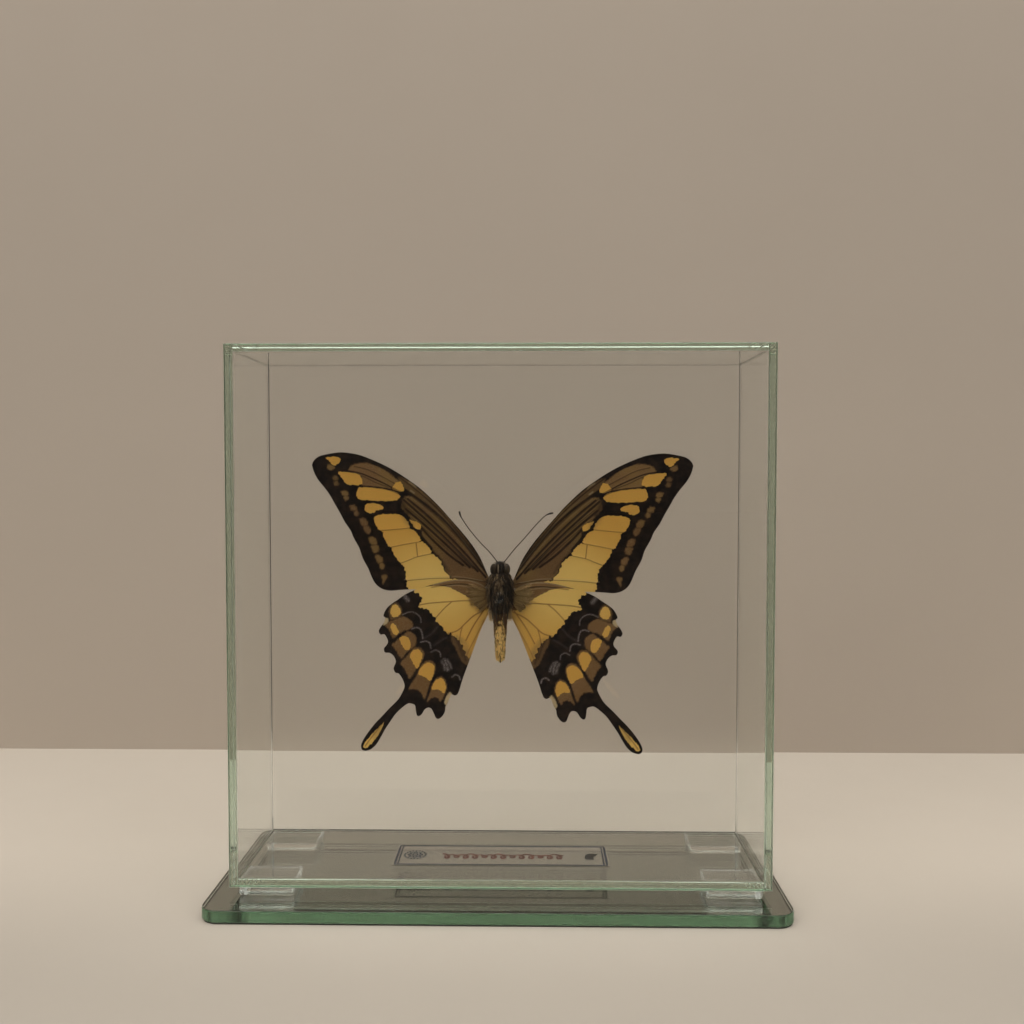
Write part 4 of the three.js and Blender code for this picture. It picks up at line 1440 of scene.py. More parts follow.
@dataclass
class WingPair:
    """A left and a right wing of one kind, grown from one pattern.

    A wing is the surface P(u, v) = (u out from the body, plane(u, v) -+ half the thickness, v up)
    on an even lattice. Cells outside the outline are left out, the lattice's rim slides onto the
    outline, and a band closes the two skins at the rim.
    """

    kind: str
    leading: str
    trailing: str
    patches: tuple[Patch, ...]
    strokes: tuple[Stroke, ...]
    plane: float
    pale_focus: tuple[float, float]
    right_scale: float
    right_turn: float
    right_shift: tuple[float, float]
    pitch: float = 0.18
    skin: float = 0.055
    ridge: float = 0.05
    vein_reach: float = 3.0

    def outline(self) -> np.ndarray:
        """The closed outline: the leading edge out and the trailing edge back."""
        return np.vstack([spline(knots(self.leading), steps=5)[:-1],
                          spline(knots(self.trailing), steps=5)[::-1][:-1]])

    def lattice(self) -> tuple[np.ndarray, np.ndarray, np.ndarray]:
        """The trimmed lattice.

        Returns:
            Its points, its quads, and the directed edges of its rim.
        """
        outline = self.outline()
        low, high = outline.min(0) - self.pitch, outline.max(0) + self.pitch
        u, v = (np.arange(a, b + self.pitch, self.pitch) for a, b in zip(low, high))
        grid = np.stack(np.meshgrid(u, v, indexing="ij"), axis=-1)
        flat = grid.reshape(-1, 2)
        away, foot = nearest(flat, np.vstack([outline, outline[:1]]))
        signed = np.where(inside(flat, outline), away, -away)
        index = np.arange(len(flat)).reshape(grid.shape[:2])
        cells = np.stack([index[:-1, :-1], index[1:, :-1], index[1:, 1:], index[:-1, 1:]], axis=-1)
        cells = cells.reshape(-1, 4)
        cells = cells[(signed[cells] > -0.45 * self.pitch).all(1)]
        used, quads = np.unique(cells, return_inverse=True)
        quads = quads.reshape(-1, 4)
        points, foot = flat[used], foot[used]
        edges = np.vstack([quads[:, [i, (i + 1) % 4]] for i in range(4)])
        forward = edges[:, 0] * len(points) + edges[:, 1]
        backward = edges[:, 1] * len(points) + edges[:, 0]
        rim = edges[~np.isin(forward, backward)]
        points[rim.ravel()] = foot[rim.ravel()]
        return points, quads, rim

    def paint(self, points: np.ndarray) -> dict[str, np.ndarray]:
        """One mask for each layer, the strongest cover of its patches and strokes, and the tone.

        Args:
            points: the lattice's points.

        Returns:
            Values by mask name.
        """
        masks = {layer.value: np.zeros(len(points)) for layer in Layer}
        for mark in (*self.patches, *self.strokes):
            name = mark.layer.value
            at = self.ragged(points, mark.teeth) if isinstance(mark, Patch) else points
            masks[name] = np.maximum(masks[name], mark.cover(at))
        away = np.linalg.norm((points - self.pale_focus) / (15.0, 9.0), axis=1)
        tail = 0.7 * smooth_step(-points[:, 1], 36.0, 40.0)
        masks["tone"] = np.maximum(np.exp(-(away**2)), tail)
        return masks

    def ragged(self, points: np.ndarray, teeth: float) -> np.ndarray:
        """Points pushed about by crossed ripples, fine ones and others of the teeth's depth.

        Args:
            points: places on the wing, one a row.
            teeth: the depth of the coarser ripples.

        Returns:
            The moved points.
        """
        u, v = points.T
        across = 0.08 * np.sin(7.3 * u + 2.9 * v) + 0.05 * np.sin(12.1 * v - 5.2 * u + 1)
        along = 0.08 * np.sin(6.7 * v - 3.1 * u + 2) + 0.05 * np.sin(11.3 * u + 6.1 * v)
        across += teeth * (np.sin(3.1 * u + 2.2 * v) + 0.7 * np.sin(4.9 * v - 2.7 * u + 1))
        along += teeth * (np.sin(3.4 * v - 1.9 * u + 2) + 0.7 * np.sin(5.3 * u + 1.6 * v))
        return points + np.column_stack([across, along])

    def wave(self, x: np.ndarray, z: np.ndarray) -> np.ndarray:
        """The dried wings' slow warp, one function of place for all the wings."""
        return 0.11 * np.sin(x / 9 + 0.6) * np.cos(z / 11) + 0.07 * np.sin(x / 5.3 - z / 7.1)

    def place_side(self, points: np.ndarray, side: int) -> tuple[np.ndarray, np.ndarray]:
        """Pattern points as x and height on one side.

        The right wings are the mirrored pattern, scaled, turned and shifted.

        Args:
            points: out from the body and up.
            side: LEFT or RIGHT.

        Returns:
            The x values and the heights above the base's underside.
        """
        out, up = points.T
        if side == RIGHT:
            turn = math.radians(self.right_turn)
            moved = self.right_scale * (out + 1j * up) * np.exp(1j * turn)
            moved = moved + complex(*self.right_shift)
            out, up = moved.real, moved.imag
        return BODY_AXIS_X + side * out, BUTTERFLY_HEIGHT + up

    def build(self, finish: bpy.types.Material, slot: str) -> None:
        """Builds both wings.

        Args:
            finish: the wings' finish.
            slot: the record's slot for it.
        """
        points, quads, rim = self.lattice()
        masks = self.paint(points)
        from_vein = np.full(len(points), self.vein_reach)
        for stroke in self.strokes:
            if stroke.layer in (Layer.VEIN, Layer.STREAK):
                from_vein = np.minimum(from_vein, stroke.distance(points, self.vein_reach))
        half = self.skin + self.ridge * np.exp(-((from_vein / 0.17) ** 2))
        pleat = 0.09 * (1 - np.exp(-from_vein / 1.1))
        count = len(points)
        band = np.column_stack([rim[:, 1], rim[:, 0], rim[:, 0] + count, rim[:, 1] + count])
        faces = np.vstack([quads, quads[:, ::-1] + count, band])
        for side, name in ((LEFT, "left"), (RIGHT, "right")):
            x, z = self.place_side(points, side)
            middle = self.plane + pleat + self.wave(x, z)
            skins = [np.column_stack([x, middle + s * half, z]) for s in (-1, 1)]
            both = {mask: np.tile(values, 2) for mask, values in masks.items()}
            both["dorsal"] = np.repeat([0.0, 1.0], count)
            wing = Shell(np.vstack(skins), faces, masks=both).outward()
            place(wing.to_object(f"{self.kind}_blade_{name}", 60.0), finish, slot,
                  f"{self.kind}_{name}")


@dataclass
class Body:
    """Head, thorax and abdomen with their hair, eyes, mouthparts, legs and antennae."""

    middle_y: float = -16.6
    foremost_hair: float = -21.18
    wing_front: float = -14.98
    chest_hairs: int = 7600
    head_hairs: int = 1100
    root_hairs: int = 1500
    belly_scales: int = 2600
    tuft_hairs: int = 260
    antenna_rings: int = 42
    seed: int = 20261

    def barrel(self, table: str, around: int = 40) -> np.ndarray:
        """Rings of a body part: (x + a cos t, y + b sin t, z) for each "z a b" of its table.

        Args:
            table: height, half width and half depth at places along the part, parted by commas.
            around: points round each ring.

        Returns:
            Points by ring, place round the ring, and axis.
        """
        z, a, b = spline(knots(table), steps=5).T
        angle = np.arange(around) * 2 * math.pi / around
        return np.stack([
            BODY_AXIS_X + a[:, None] * np.cos(angle), self.middle_y + b[:, None] * np.sin(angle),
            np.broadcast_to(BUTTERFLY_HEIGHT + z[:, None], (len(z), around)),
        ], axis=-1)

    def blob(self, middle: tuple[float, float, float], radii: tuple[float, float, float],
             steps: int = 20) -> np.ndarray:
        """Rings of an ellipsoid: middle + radii (sin v cos u, sin v sin u, -cos v).

        Args:
            middle: its middle.
            radii: its half width, half depth and half height.
            steps: rings from its foot to its crown.

        Returns:
            Points by ring, place round the ring, and axis.
        """
        v = np.linspace(0.04, math.pi - 0.04, steps)[:, None]
        u = (np.arange(steps * 2) * math.pi / steps)[None, :]
        unit = np.broadcast_arrays(np.sin(v) * np.cos(u), np.sin(v) * np.sin(u), -np.cos(v))
        return np.array(middle) + np.stack(unit, axis=-1) * np.array(radii)

    def thorax(self) -> Shell:
        """The chest, widest at the wing roots."""
        return loft(self.barrel(
            "-5.6 1.4 1.3, -4.6 2.1 2.2, -2.5 2.7 3.0, 0 3.25 3.5, 2.5 3.6 3.6, 4.5 3.6 3.4, "
            "6.0 2.9 2.6, 7.0 1.3 1.3"))

    def abdomen(self) -> Shell:
        """A tapering tube, drawn in at each joint, dark along its back and upper flanks.

        Returns:
            The abdomen, with the mask "mark" 1 where it is dark.
        """
        rings = self.barrel(
            "-4.3 1.7 1.8, -6 2.05 2, -9 1.95 2, -12 1.65 1.8, -14 1.5 1.6, -16.5 1.45 1.5, "
            "-18.4 1.15 1.2, -19.5 0.6 0.7, -20 0.1 0.1", around=48)
        axis = np.array([BODY_AXIS_X, self.middle_y])
        height = rings[..., 2] - BUTTERFLY_HEIGHT
        joint = np.abs(np.sin((height + 4.6) / 2.15 * math.pi))
        swell = 0.9 + 0.13 * joint**0.45
        lumps = 1 + 0.03 * np.sin(7.1 * height + 5 * rings[..., 0]) * np.sin(4.3 * height)
        rings[..., :2] = axis + (rings[..., :2] - axis) * (swell * lumps)[..., None]
        around = np.arctan2(rings[..., 1] - self.middle_y, rings[..., 0] - BODY_AXIS_X)
        back = smooth_step(around, 0.5, 0.9) * smooth_step(-around, -2.6, -2.2)
        flank = smooth_step(np.abs(np.cos(around)), 0.5, 0.72) * smooth_step(height, -13.5, -9.0)
        cleft = np.exp(-(((rings[..., 0] - BODY_AXIS_X) / 0.22) ** 2))
        cleft = cleft * smooth_step(-height, 15.8, 17.2)
        crease = 0.55 * (1 - joint) ** 3
        top = 0.95 * smooth_step(height, -13.0, -6.0)
        mark = np.maximum.reduce([back, flank, 0.85 * cleft, crease, top, np.full_like(top, 0.12)])
        return loft(rings, {"mark": np.clip(mark, 0, 1)})

    def legs(self) -> Shell:
        """Six thin legs folded down along the chest, thicker at the thigh.

        Returns:
            The legs.
        """
        routes = (
            "0.7 -19.9 5.2, 1.7 -20.4 4.2, 2.0 -20.35 2.2, 1.7 -20.5 -0.4, 1.9 -20.3 -3.0, "
            "1.6 -19.7 -5.4",
            "0.5 -20.3 3.4, 2.5 -20.0 3.0, 2.9 -19.7 0.6, 2.6 -19.8 -1.8, 2.3 -19.5 -4.4, "
            "2.2 -18.9 -6.6",
            "0.4 -20.3 -2.2, 1.3 -20.5 -2.6, 1.2 -20.3 -4.2, 1.0 -19.6 -6.0, 0.9 -19.0 -7.6")
        parts = []
        for side in (LEFT, RIGHT):
            for route in routes:
                path = spline(knots(route), steps=7)
                path = path * (side, 1, 1) + (BODY_AXIS_X, 0, BUTTERFLY_HEIGHT)
                share = np.linspace(0, 1, len(path))
                radius = 0.24 - 0.13 * share + 0.04 * np.sin(share * 3 * math.pi) ** 2
                parts.append(tube(path, radius, 8))
        return parts[0].joined(*parts[1:])

    def tongue(self) -> Shell:
        """The coiled feeding tube, a flat spiral whose radius is 0.2 + 0.055 of its angle.

        Returns:
            The tube.
        """
        turn = np.linspace(0, 2.6 * 2 * math.pi, 70)
        radius = 0.2 + 0.11 * turn / 2
        path = np.column_stack([np.full_like(turn, BODY_AXIS_X), -18.9 - radius * np.cos(turn),
                                BUTTERFLY_HEIGHT + 6.9 + radius * np.sin(turn)])
        return tube(path, np.full_like(turn, 0.1), 7)

    def antenna(self, route: str) -> Shell:
        """A ringed rod with a club: radius 0.145, and 0.14 more in the club, times a ripple.

        Args:
            route: its middle line, as pairs of x and height.

        Returns:
            A closed shell, with the mask "mark" 1 on the dark rings.
        """
        flat = spline(knots(route), steps=16)
        share = np.linspace(0, 1, len(flat))
        lean = self.middle_y - 0.5 + 0.5 * share
        path = np.column_stack([BODY_AXIS_X + flat[:, 0], lean, BUTTERFLY_HEIGHT + flat[:, 1]])
        club = smooth_step(share, 0.72, 0.9) * (1 - smooth_step(share, 0.96, 1.0) * 0.7)
        wave = np.cos(share * 2 * math.pi * self.antenna_rings)
        shell = tube(path, (0.145 + 0.14 * club) * (1 + 0.08 * wave), 10)
        ring = np.repeat(0.5 + 0.35 * wave + 0.3 * club, 10)
        shell.masks["mark"] = np.clip(np.concatenate([ring, [0.5, 1.0]]), 0, 1)
        return shell

    def coat(self, rng: np.random.Generator) -> Shell:
        """Hair over the chest and head, combed down and outwards, with pale streaks down it.

        Args:
            rng: the source of the random draws.

        Returns:
            The hairs.
        """
        count = self.chest_hairs
        height = rng.uniform(-4.6, 6.8, count)
        angle = rng.uniform(0, 2 * math.pi, count)
        rise = height - 2.4
        fall = np.where(rise > 0, (rise / 5.4) ** 3.4, (np.abs(rise) / 8.0) ** 1.7)
        girth = 3.5 * np.sqrt(np.clip(1 - fall, 0.08, 1))
        outward = np.column_stack([np.cos(angle), np.sin(angle), np.zeros(count)])
        roots = outward * girth[:, None] * (0.97, 1.03, 1)
        roots += (BODY_AXIS_X, self.middle_y, BUTTERFLY_HEIGHT)
        roots[:, 2] += height
        comb = np.column_stack([np.zeros(count), np.zeros(count), -np.ones(count)])
        loose = rng.normal(0, 0.34, (count, 3))
        directions = 0.5 * outward * (1, 0.6, 1) + 1.1 * comb + loose
        directions /= np.linalg.norm(directions, axis=1, keepdims=True)
        shag = 1 + 0.5 * np.sin(angle * 9 + height * 1.7) * np.sin(height * 2.3 + angle * 4)
        lengths = shag * rng.uniform(0.7, 2.1, count) * smooth_step(height, -7.5, -1.0)
        locks = rng.uniform((0, -3.5, 0.04, 0.4, -0.12), (2 * math.pi, 6.5, 0.13, 1.8, 0.12), (48, 5))
        off_angle = np.abs(angle[:, None] - locks[:, 0]
                           + locks[:, 4] * (height[:, None] - locks[:, 1]))
        off_height = np.abs(height[:, None] - locks[:, 1])
        streak = ((off_angle < locks[:, 2]) & (off_height < locks[:, 3])).any(1)
        pale = rng.random(count) < np.where(streak, 0.8, 0.05)
        tints = np.where(pale, rng.uniform(0.45, 1.0, count), rng.uniform(0.0, 0.12, count))
        coat = bristles(roots, directions, lengths, 0.1, comb * 0.3, tints)
        coat.points[:, 1] = np.maximum(coat.points[:, 1], self.foremost_hair)
        return coat

    def head_coat(self, rng: np.random.Generator) -> Shell:
        """Shorter hair on the crown, the face and the mouthparts.

        Args:
            rng: the source of the random draws.

        Returns:
            The hairs.
        """
        count = self.head_hairs
        angle = rng.uniform(0, 2 * math.pi, count)
        height = rng.uniform(-2.0, 2.1, count)
        girth = np.sqrt(np.clip(1 - (height / 2.4) ** 2, 0.1, 1))
        outward = np.column_stack([np.cos(angle), np.sin(angle), height / 3])
        roots = outward * np.column_stack([1.75 * girth, 1.9 * girth, np.zeros(count)])
        roots += (BODY_AXIS_X, self.middle_y, BUTTERFLY_HEIGHT + HEAD_RISE)
        roots[:, 2] += height
        keep = np.abs(roots[:, 0] - BODY_AXIS_X) < 1.35
        roots, outward = roots[keep], outward[keep]
        directions = outward + rng.normal(0, 0.3, (len(roots), 3)) + (0, 0, 0.3)
        directions /= np.linalg.norm(directions, axis=1, keepdims=True)
        lengths = rng.uniform(0.3, 0.75, len(roots))
        tints = np.clip(rng.normal(0.1, 0.2, len(roots)), 0, 1)
        return bristles(roots, directions, lengths, 0.06, np.zeros_like(roots), tints)

    def wing_root_hair(self, rng: np.random.Generator, side: int) -> Shell:
        """Long soft hair that fans out from the chest over the wing roots and the inner edge.

        Args:
            rng: the source of the random draws.
            side: LEFT or RIGHT.

        Returns:
            The hairs.
        """
        count = self.root_hairs
        lean = np.radians(rng.uniform(-46, 22, count))
        reach = (2.2 + 7.0 * rng.beta(1.1, 2.4, count)) * np.where(lean < -0.45, 0.75, 1.0)
        out = np.cos(lean) * reach + 0.8
        up = np.sin(lean) * reach + 0.2
        roots = np.column_stack([BODY_AXIS_X + side * out, np.full(count, self.wing_front),
                                 BUTTERFLY_HEIGHT + up])
        fan = np.column_stack([side * np.cos(lean), rng.uniform(-0.16, 0.02, count), np.sin(lean)])
        fan[:, 2] += rng.normal(0, 0.1, count)
        fan /= np.linalg.norm(fan, axis=1, keepdims=True)
        lengths = rng.uniform(1.6, 3.6, count) * smooth_step(13.0 - reach, 1.0, 9.0)
        lock = np.sin(lean * 23) + 0.8 * np.sin(lean * 41 + 1.3)
        tints = np.clip(0.52 + 0.17 * lock + rng.normal(0, 0.2, count), 0, 1)
        droop = np.tile((0.0, 0.06, -0.05), (count, 1))
        return bristles(roots, fan, np.maximum(lengths, 0.3), 0.085, droop, tints)

    def abdomen_coat(self, rng: np.random.Generator) -> Shell:
        """Short scales and hair laid down along the abdomen, in pale and brown streaks.

        Args:
            rng: the source of the random draws.

        Returns:
            The scales.
        """
        count = self.belly_scales
        height = rng.uniform(-18.6, -4.2, count)
        angle = rng.uniform(0, 2 * math.pi, count)
        girth = np.interp(-height, (4.2, 9, 12, 14, 16.5, 18.6), (1.98, 1.9, 1.64, 1.5, 1.4, 1.1))
        outward = np.column_stack([np.cos(angle), np.sin(angle), np.zeros(count)])
        roots = outward * girth[:, None] * (0.97, 1.0, 1)
        roots += (BODY_AXIS_X, self.middle_y, BUTTERFLY_HEIGHT)
        roots[:, 2] += height
        directions = 0.2 * outward + (0, 0, -1.0) + rng.normal(0, 0.09, (count, 3))
        directions /= np.linalg.norm(directions, axis=1, keepdims=True)
        streak = np.sin(angle * 13 + 1) + 0.7 * np.sin(angle * 23 + height)
        dark_top = smooth_step(height, -13.5, -5.5)
        dark_side = smooth_step(np.abs(np.cos(angle)), 0.62, 0.85) * smooth_step(height, -17.0, -11.0)
        rows, columns = 20, 30
        row = ((height + 19) / 0.75).astype(int)
        column = ((angle * columns / (2 * math.pi)) + 0.4 * row).astype(int) % columns
        chance = rng.random((rows, columns))[row, column]
        dark = chance < 0.2 + 0.1 * streak + 0.75 * dark_top + 0.6 * dark_side
        tints = np.where(dark, rng.uniform(0, 0.15, count), rng.uniform(0.65, 1.0, count))
        return bristles(roots, directions, rng.uniform(0.6, 1.1, count), 0.13,
                        np.zeros((count, 3)), tints)

    def side_tuft(self, rng: np.random.Generator, side: int) -> Shell:
        """Pale hair hanging between the abdomen and the wing's inner edge.

        Args:
            rng: the source of the random draws.
            side: LEFT or RIGHT.

        Returns:
            The hairs.
        """
        count = self.tuft_hairs
        roots = np.column_stack([
            BODY_AXIS_X + side * rng.uniform(2.2, 3.4, count), rng.uniform(-16.8, -15.3, count),
            BUTTERFLY_HEIGHT + rng.uniform(-6.6, -3.4, count)])
        directions = np.column_stack([side * rng.uniform(-0.25, 0.3, count),
                                      rng.uniform(-0.2, 0.2, count), -np.ones(count)])
        directions /= np.linalg.norm(directions, axis=1, keepdims=True)
        tints = rng.uniform(0.6, 1.0, count)
        return bristles(roots, directions, rng.uniform(0.8, 1.9, count), 0.06,
                        np.zeros((count, 3)), tints)

    def build(self, finishes: dict[str, bpy.types.Material]) -> None:
        """Builds every piece of the body.

        Args:
            finishes: the finishes by name.
        """
        rng = np.random.default_rng(self.seed)
        node, slot = "butterfly_body", "insect_body"
        head_z = BUTTERFLY_HEIGHT + HEAD_RISE
        place(self.thorax().to_object("thorax"), finishes["cuticle"], slot, node)
        place(self.abdomen().to_object("abdomen"), finishes["abdomen"], slot, node)
        head = loft(self.blob((BODY_AXIS_X, self.middle_y, head_z), (1.8, 1.95, 2.3)))
        place(head.to_object("head"), finishes["cuticle"], slot, node)
        eyes = [loft(self.blob((BODY_AXIS_X + s * 1.85, self.middle_y - 0.35, head_z - 0.1),
                               (1.15, 1.5, 1.75), 28)) for s in (LEFT, RIGHT)]
        place(eyes[0].joined(eyes[1]).to_object("eyes"), finishes["eye"], slot, node)
        palps = []
        for x, wide, mark in ((-0.55, 0.22, 0.0), (0.5, 0.18, 1.0)):
            rings = self.blob((BODY_AXIS_X + x, self.middle_y - 1.75, head_z + 0.2), (wide, 0.6, 1.4))
            palps.append(loft(rings, {"mark": np.full(rings.shape[:2], mark)}))
        place(palps[0].joined(palps[1]).to_object("palps"), finishes["palp"], slot, node)
        place(self.tongue().to_object("tongue"), finishes["cuticle"], slot, node)
        place(self.legs().to_object("legs"), finishes["leg"], slot, node)
        hair = self.coat(rng).joined(self.head_coat(rng))
        place(hair.to_object("body_hair"), finishes["hair"], slot, node)
        fans = [self.wing_root_hair(rng, side) for side in (LEFT, RIGHT)]
        tufts = [self.side_tuft(rng, side) for side in (LEFT, RIGHT)]
        lain = self.abdomen_coat(rng).to_object("abdomen_scales")
        place(lain, finishes["lain"], slot, node)
        down = fans[0].joined(fans[1], *tufts)
        place(down.to_object("wing_root_hair"), finishes["down"], slot)
        for name, route in (
            ("left", "-0.8 10.1, -3.2 13.1, -6.1 16.1, -9.1 19.7, -10.9 22.3, -11.8 23.9, -12.1 25.1"),
            ("right", "1.2 10.1, 4.3 14, 7.3 17.3, 10.3 20.8, 12.1 22.7, 13.3 23.8, 14.5 24.4, "
                      "15.7 24.6"),
        ):
            place(self.antenna(route).to_object(f"feeler_{name}"), finishes["antenna"],
                  "antenna_shell", f"antenna_{name}")


@dataclass
class GlueDrop:
    """A squeezed drop of clear adhesive between the chest and the front pane."""

    def build(self, finish: bpy.types.Material) -> None:
        """Builds the drop: rings of radius r at each depth y of its profile.

        Args:
            finish: the adhesive's finish.
        """
        profile = knots("-21.25 1.42, -21.22 1.47, -21.1 1.5, -20.8 1.5, -20.6 1.46, -20.5 1.3")
        angle = -np.arange(40) * 2 * math.pi / 40
        y, radius = profile[:, :1], profile[:, 1:]
        rings = np.stack(np.broadcast_arrays(radius * np.cos(angle), y, BUTTERFLY_HEIGHT
                                             + radius * np.sin(angle)), axis=-1)
        place(loft(rings).to_object("glue_drop"), finish, "clear_adhesive", "glue_dot")


# ---- Stage, light and camera ----


@dataclass
class Stage:
    """A plain pale table, a plain backdrop, soft lamps and the camera."""

    wall_y: float = 150.0
    camera_place: tuple[float, float, float] = (9.27, -320.84, 129.33)
    pitch_down: float = 2.248
    yaw_left: float = 1.072
    lens: float = 36.09
    reach: float = 3000.0
    wall_half: float = 1500.0
    wall_height: float = 1600.0

    def sheet(self, name: str, corner_a: tuple, corner_b: tuple, corner_c: tuple,
              finish: bpy.types.Material) -> None:
        """A flat sheet a + u (b - a) + v (c - a), as part of the stage.

        Args:
            name: the sheet's name.
            corner_a: where it starts.
            corner_b: the end of its first side.
            corner_c: the end of its second side.
            finish: its material.
        """
        a, b, c = (np.array(p, float) for p in (corner_a, corner_b, corner_c))
        share = np.linspace(0, 1, 9)
        u, v = np.meshgrid(share, share, indexing="ij")
        points = (a + u[..., None] * (b - a) + v[..., None] * (c - a)).reshape(-1, 3)
        index = np.arange(81).reshape(9, 9)
        quads = np.stack([index[:-1, :-1], index[1:, :-1], index[1:, 1:], index[:-1, 1:]], axis=-1)
        piece = Shell(points, quads.reshape(-1, 4)).to_object(name)
        piece.data.materials.append(finish)

    def lamp(self, name: str, place_at: tuple, aim: tuple, size: float, watts: float,
             colour: tuple[float, float, float]) -> None:
        """A square soft lamp.

        Args:
            name: the lamp's name.
            place_at: where it hangs.
            aim: the place that it faces.
            size: the length of its side.
            watts: its power.
            colour: its light.
        """
        light = bpy.data.lights.new(name, "AREA")
        light.shape, light.size, light.energy, light.color = "SQUARE", size * MM, watts, colour
        lamp = bpy.data.objects.new(name, light)
        bpy.context.scene.collection.objects.link(lamp)
        start = np.array(place_at, float)
        away = start - np.array(aim, float)
        away /= np.linalg.norm(away)
        lamp.location = tuple(start * MM)
        lamp.rotation_euler = (math.acos(away[2]), 0.0, math.atan2(away[0], -away[1]))
        lamp.visible_camera = False

    def build(self, effects: Effects) -> None:
        """Builds the stage.

        Args:
            effects: the shared groups.
        """
        floor = StageFinish("table_top", rgb(0.66, 0.61, 0.54)).make(effects)
        wall = StageFinish("backdrop", rgb(0.51, 0.445, 0.38), one_sided=True).make(effects)
        self.sheet("table_top", (-self.reach, -self.reach, 0), (self.reach, -self.reach, 0),
                   (-self.reach, self.reach, 0), floor)
        self.sheet("backdrop", (-self.wall_half, self.wall_y, 0), (self.wall_half, self.wall_y, 0),
                   (-self.wall_half, self.wall_y, self.wall_height), wall)
        warm = (1.0, 0.95, 0.88)
        self.lamp("overhead", (20, -90, 1050), (0, 0, 60), 900, 8.0, warm)
        self.lamp("front_left", (-800, -800, 700), (0, 0, 80), 700, 4.9, warm)
        self.lamp("front_right", (850, -750, 650), (0, 0, 80), 700, 3.2, warm)
        world = bpy.data.worlds.new("soft_room")
        world.use_nodes = True
        g, room = Graph(world.node_tree), world.node_tree.nodes["Background"]
        sky = g.node("ShaderNodeTexCoord").outputs["Generated"]
        height = g.node("ShaderNodeSeparateXYZ", {0: sky}).outputs[2]
        dim = g.mix(g.ramp(height, 0.1, 0.9), rgb(0.03, 0.028, 0.026), rgb(0.34, 0.32, 0.30))
        g.feed(room, {"Color": g.mix(unmirrored(g), dim, ROOM_COLOUR)})
        bpy.context.scene.world = world
        self.camera()

    def camera(self) -> None:
        """The camera, level but for its small turn left and its small tilt down."""
        view = bpy.data.cameras.new("camera")
        view.lens, view.sensor_width, view.clip_start, view.clip_end = self.lens, 36.0, 0.01, 20.0
        camera = bpy.data.objects.new("camera", view)
        camera.location = tuple(c * MM for c in self.camera_place)
        camera.rotation_euler = (math.radians(90 - self.pitch_down), 0.0, math.radians(self.yaw_left))
        bpy.context.scene.collection.objects.link(camera)
        bpy.context.scene.camera = camera

    def light_paths(self) -> None:
        """Lets light pass and be mirrored often enough for panes in front of panes."""
        cycles = bpy.context.scene.cycles
        cycles.max_bounces, cycles.transmission_bounces = 28, 28
        cycles.glossy_bounces, cycles.diffuse_bounces = 16, 4
        cycles.blur_glossy = 0.0
        bpy.context.scene.view_settings.view_transform = "Standard"


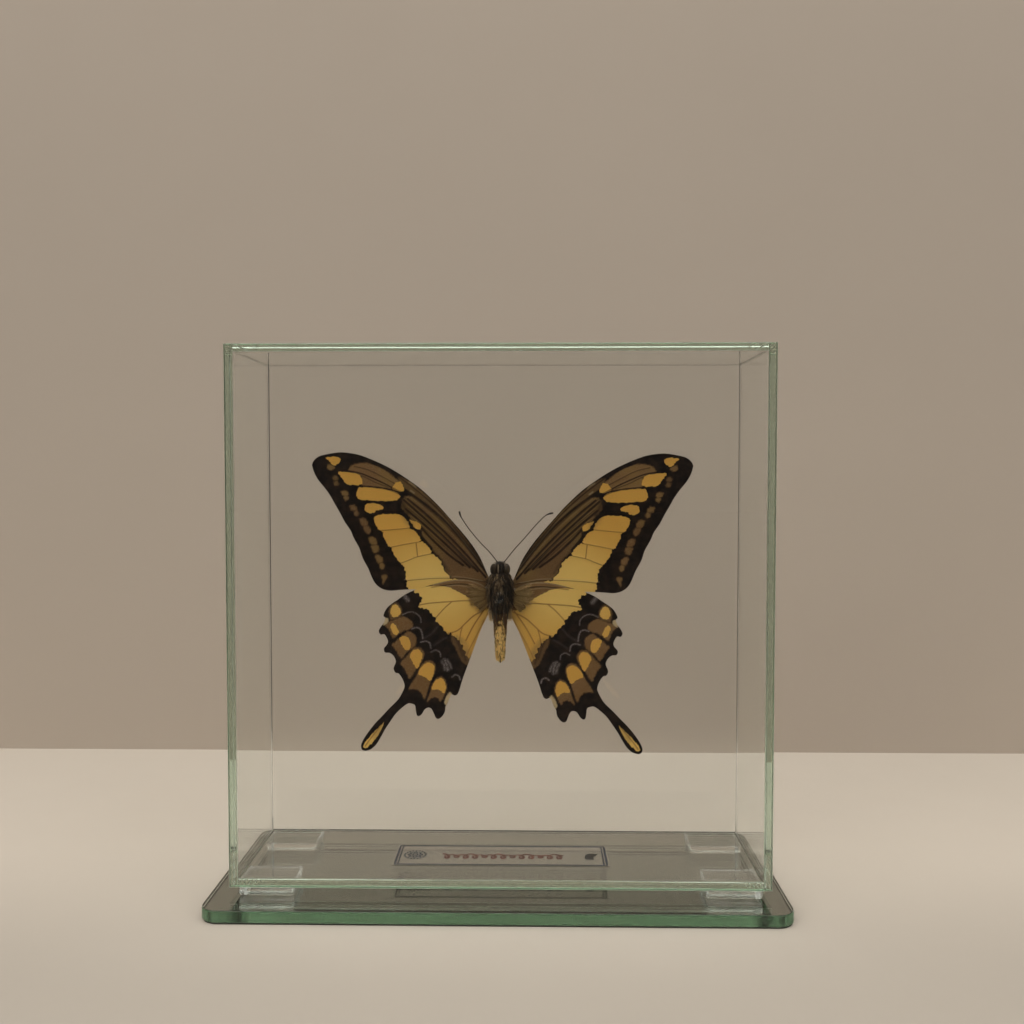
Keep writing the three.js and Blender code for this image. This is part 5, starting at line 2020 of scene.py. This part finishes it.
def main() -> None:
    """Builds the stage and the object, piece by piece."""
    logging.basicConfig(level=logging.INFO, format="%(message)s")
    effects = Effects()
    stage = Stage()
    stage.build(effects)
    stage.light_paths()

    pane_glass = ClearFinish("pane_glass", 1.5, rgb(0.68, 0.86, 0.73), 24.0).make(effects)
    plate_glass = ClearFinish("plate_glass", 1.5, rgb(0.43, 0.68, 0.52), 42.0,
                              side_roughness=0.2).make(effects)
    pad_gel = ClearFinish("pad_gel", 1.45, rgb(0.8, 0.9, 0.85), 12.0, face_roughness=0.10,
                          arris_roughness=0.0, handling=1.0).make(effects)
    film = ClearFinish("label_film", 1.46, rgb(0.95, 0.95, 0.95), 1.0, face_roughness=0.05,
                       arris_roughness=0.1).make(effects)
    glue = ClearFinish("clear_glue", 1.47, rgb(0.95, 0.93, 0.85), 20.0, arris_roughness=0.0,
                       handling=0.3).make(effects)
    inks = {
        "slate": Ink("slate_ink", rgb(0.006, 0.012, 0.03), rgb(0.02, 0.03, 0.055)),
        "russet": Ink("russet_ink", rgb(0.085, 0.014, 0.009), rgb(0.15, 0.035, 0.022)),
        "dark": Ink("dark_ink", rgb(0.005, 0.006, 0.008), rgb(0.015, 0.016, 0.02)),
    }
    MirrorBase().build(plate_glass, MirrorCoating().make(effects))
    Pads().build(pad_gel)
    GlassCase().dress(frame["nodes"], pane_glass)
    Label().build(frame["nodes"], film, {name: ink.make(effects) for name, ink in inks.items()})

    forewings = WingPair(
        "forewing", FOREWING_LEADING, FOREWING_TRAILING, FOREWING_PATCHES, FOREWING_STROKES,
        plane=-14.25, pale_focus=(20.0, 6.0), right_scale=1.007, right_turn=-0.1,
        right_shift=(0.44, -0.59))
    fore_scales = WingScales("forewing_scales", rgb(0.12, 0.062, 0.026))
    forewings.build(fore_scales.make(effects), "forewing_scales")
    hindwings = WingPair(
        "hindwing", HINDWING_LEADING, HINDWING_TRAILING, HINDWING_PATCHES, HINDWING_STROKES,
        plane=-14.75, pale_focus=(19.0, -0.5), right_scale=1.007, right_turn=0.9,
        right_shift=(-0.45, -0.97))
    hind_scales = WingScales("hindwing_scales", rgb(0.30, 0.15, 0.045), dusk=rgb(0.185, 0.094, 0.031))
    hindwings.build(hind_scales.make(effects), "hindwing_scales")
    finishes = {
        "cuticle": ShellFinish("cuticle", rgb(0.02, 0.013, 0.009), rgb(0.012, 0.008, 0.006)),
        "abdomen": ShellFinish("abdomen_skin", rgb(0.90, 0.60, 0.21), rgb(0.10, 0.047, 0.017),
                               roughness=0.6, grain=3000.0, relief=0.00006, mottle=2.4, spread=0.35),
        "eye": ShellFinish("eye_lens", rgb(0.048, 0.031, 0.016), rgb(0.02, 0.013, 0.008),
                           roughness=0.38, grain=3500.0),
        "palp": ShellFinish("palp_skin", rgb(0.26, 0.19, 0.12), rgb(0.04, 0.027, 0.018), roughness=0.6),
        "leg": ShellFinish("leg_skin", rgb(0.06, 0.04, 0.026), rgb(0.02, 0.014, 0.01), roughness=0.35),
        "antenna": ShellFinish("antenna_skin", rgb(0.075, 0.048, 0.03), rgb(0.018, 0.013, 0.01),
                               roughness=0.4, grain=5000.0),
        "hair": HairFinish("body_hair", rgb(0.018, 0.011, 0.006), rgb(0.36, 0.25, 0.14)),
        "down": HairFinish("root_down", rgb(0.22, 0.13, 0.05), rgb(0.62, 0.43, 0.19)),
        "lain": HairFinish("abdomen_scale", rgb(0.10, 0.045, 0.016), rgb(1.0, 0.70, 0.26)),
    }
    Body().build({name: finish.make(effects) for name, finish in finishes.items()})
    GlueDrop().build(glue)


if __name__ == "__main__":
    main()
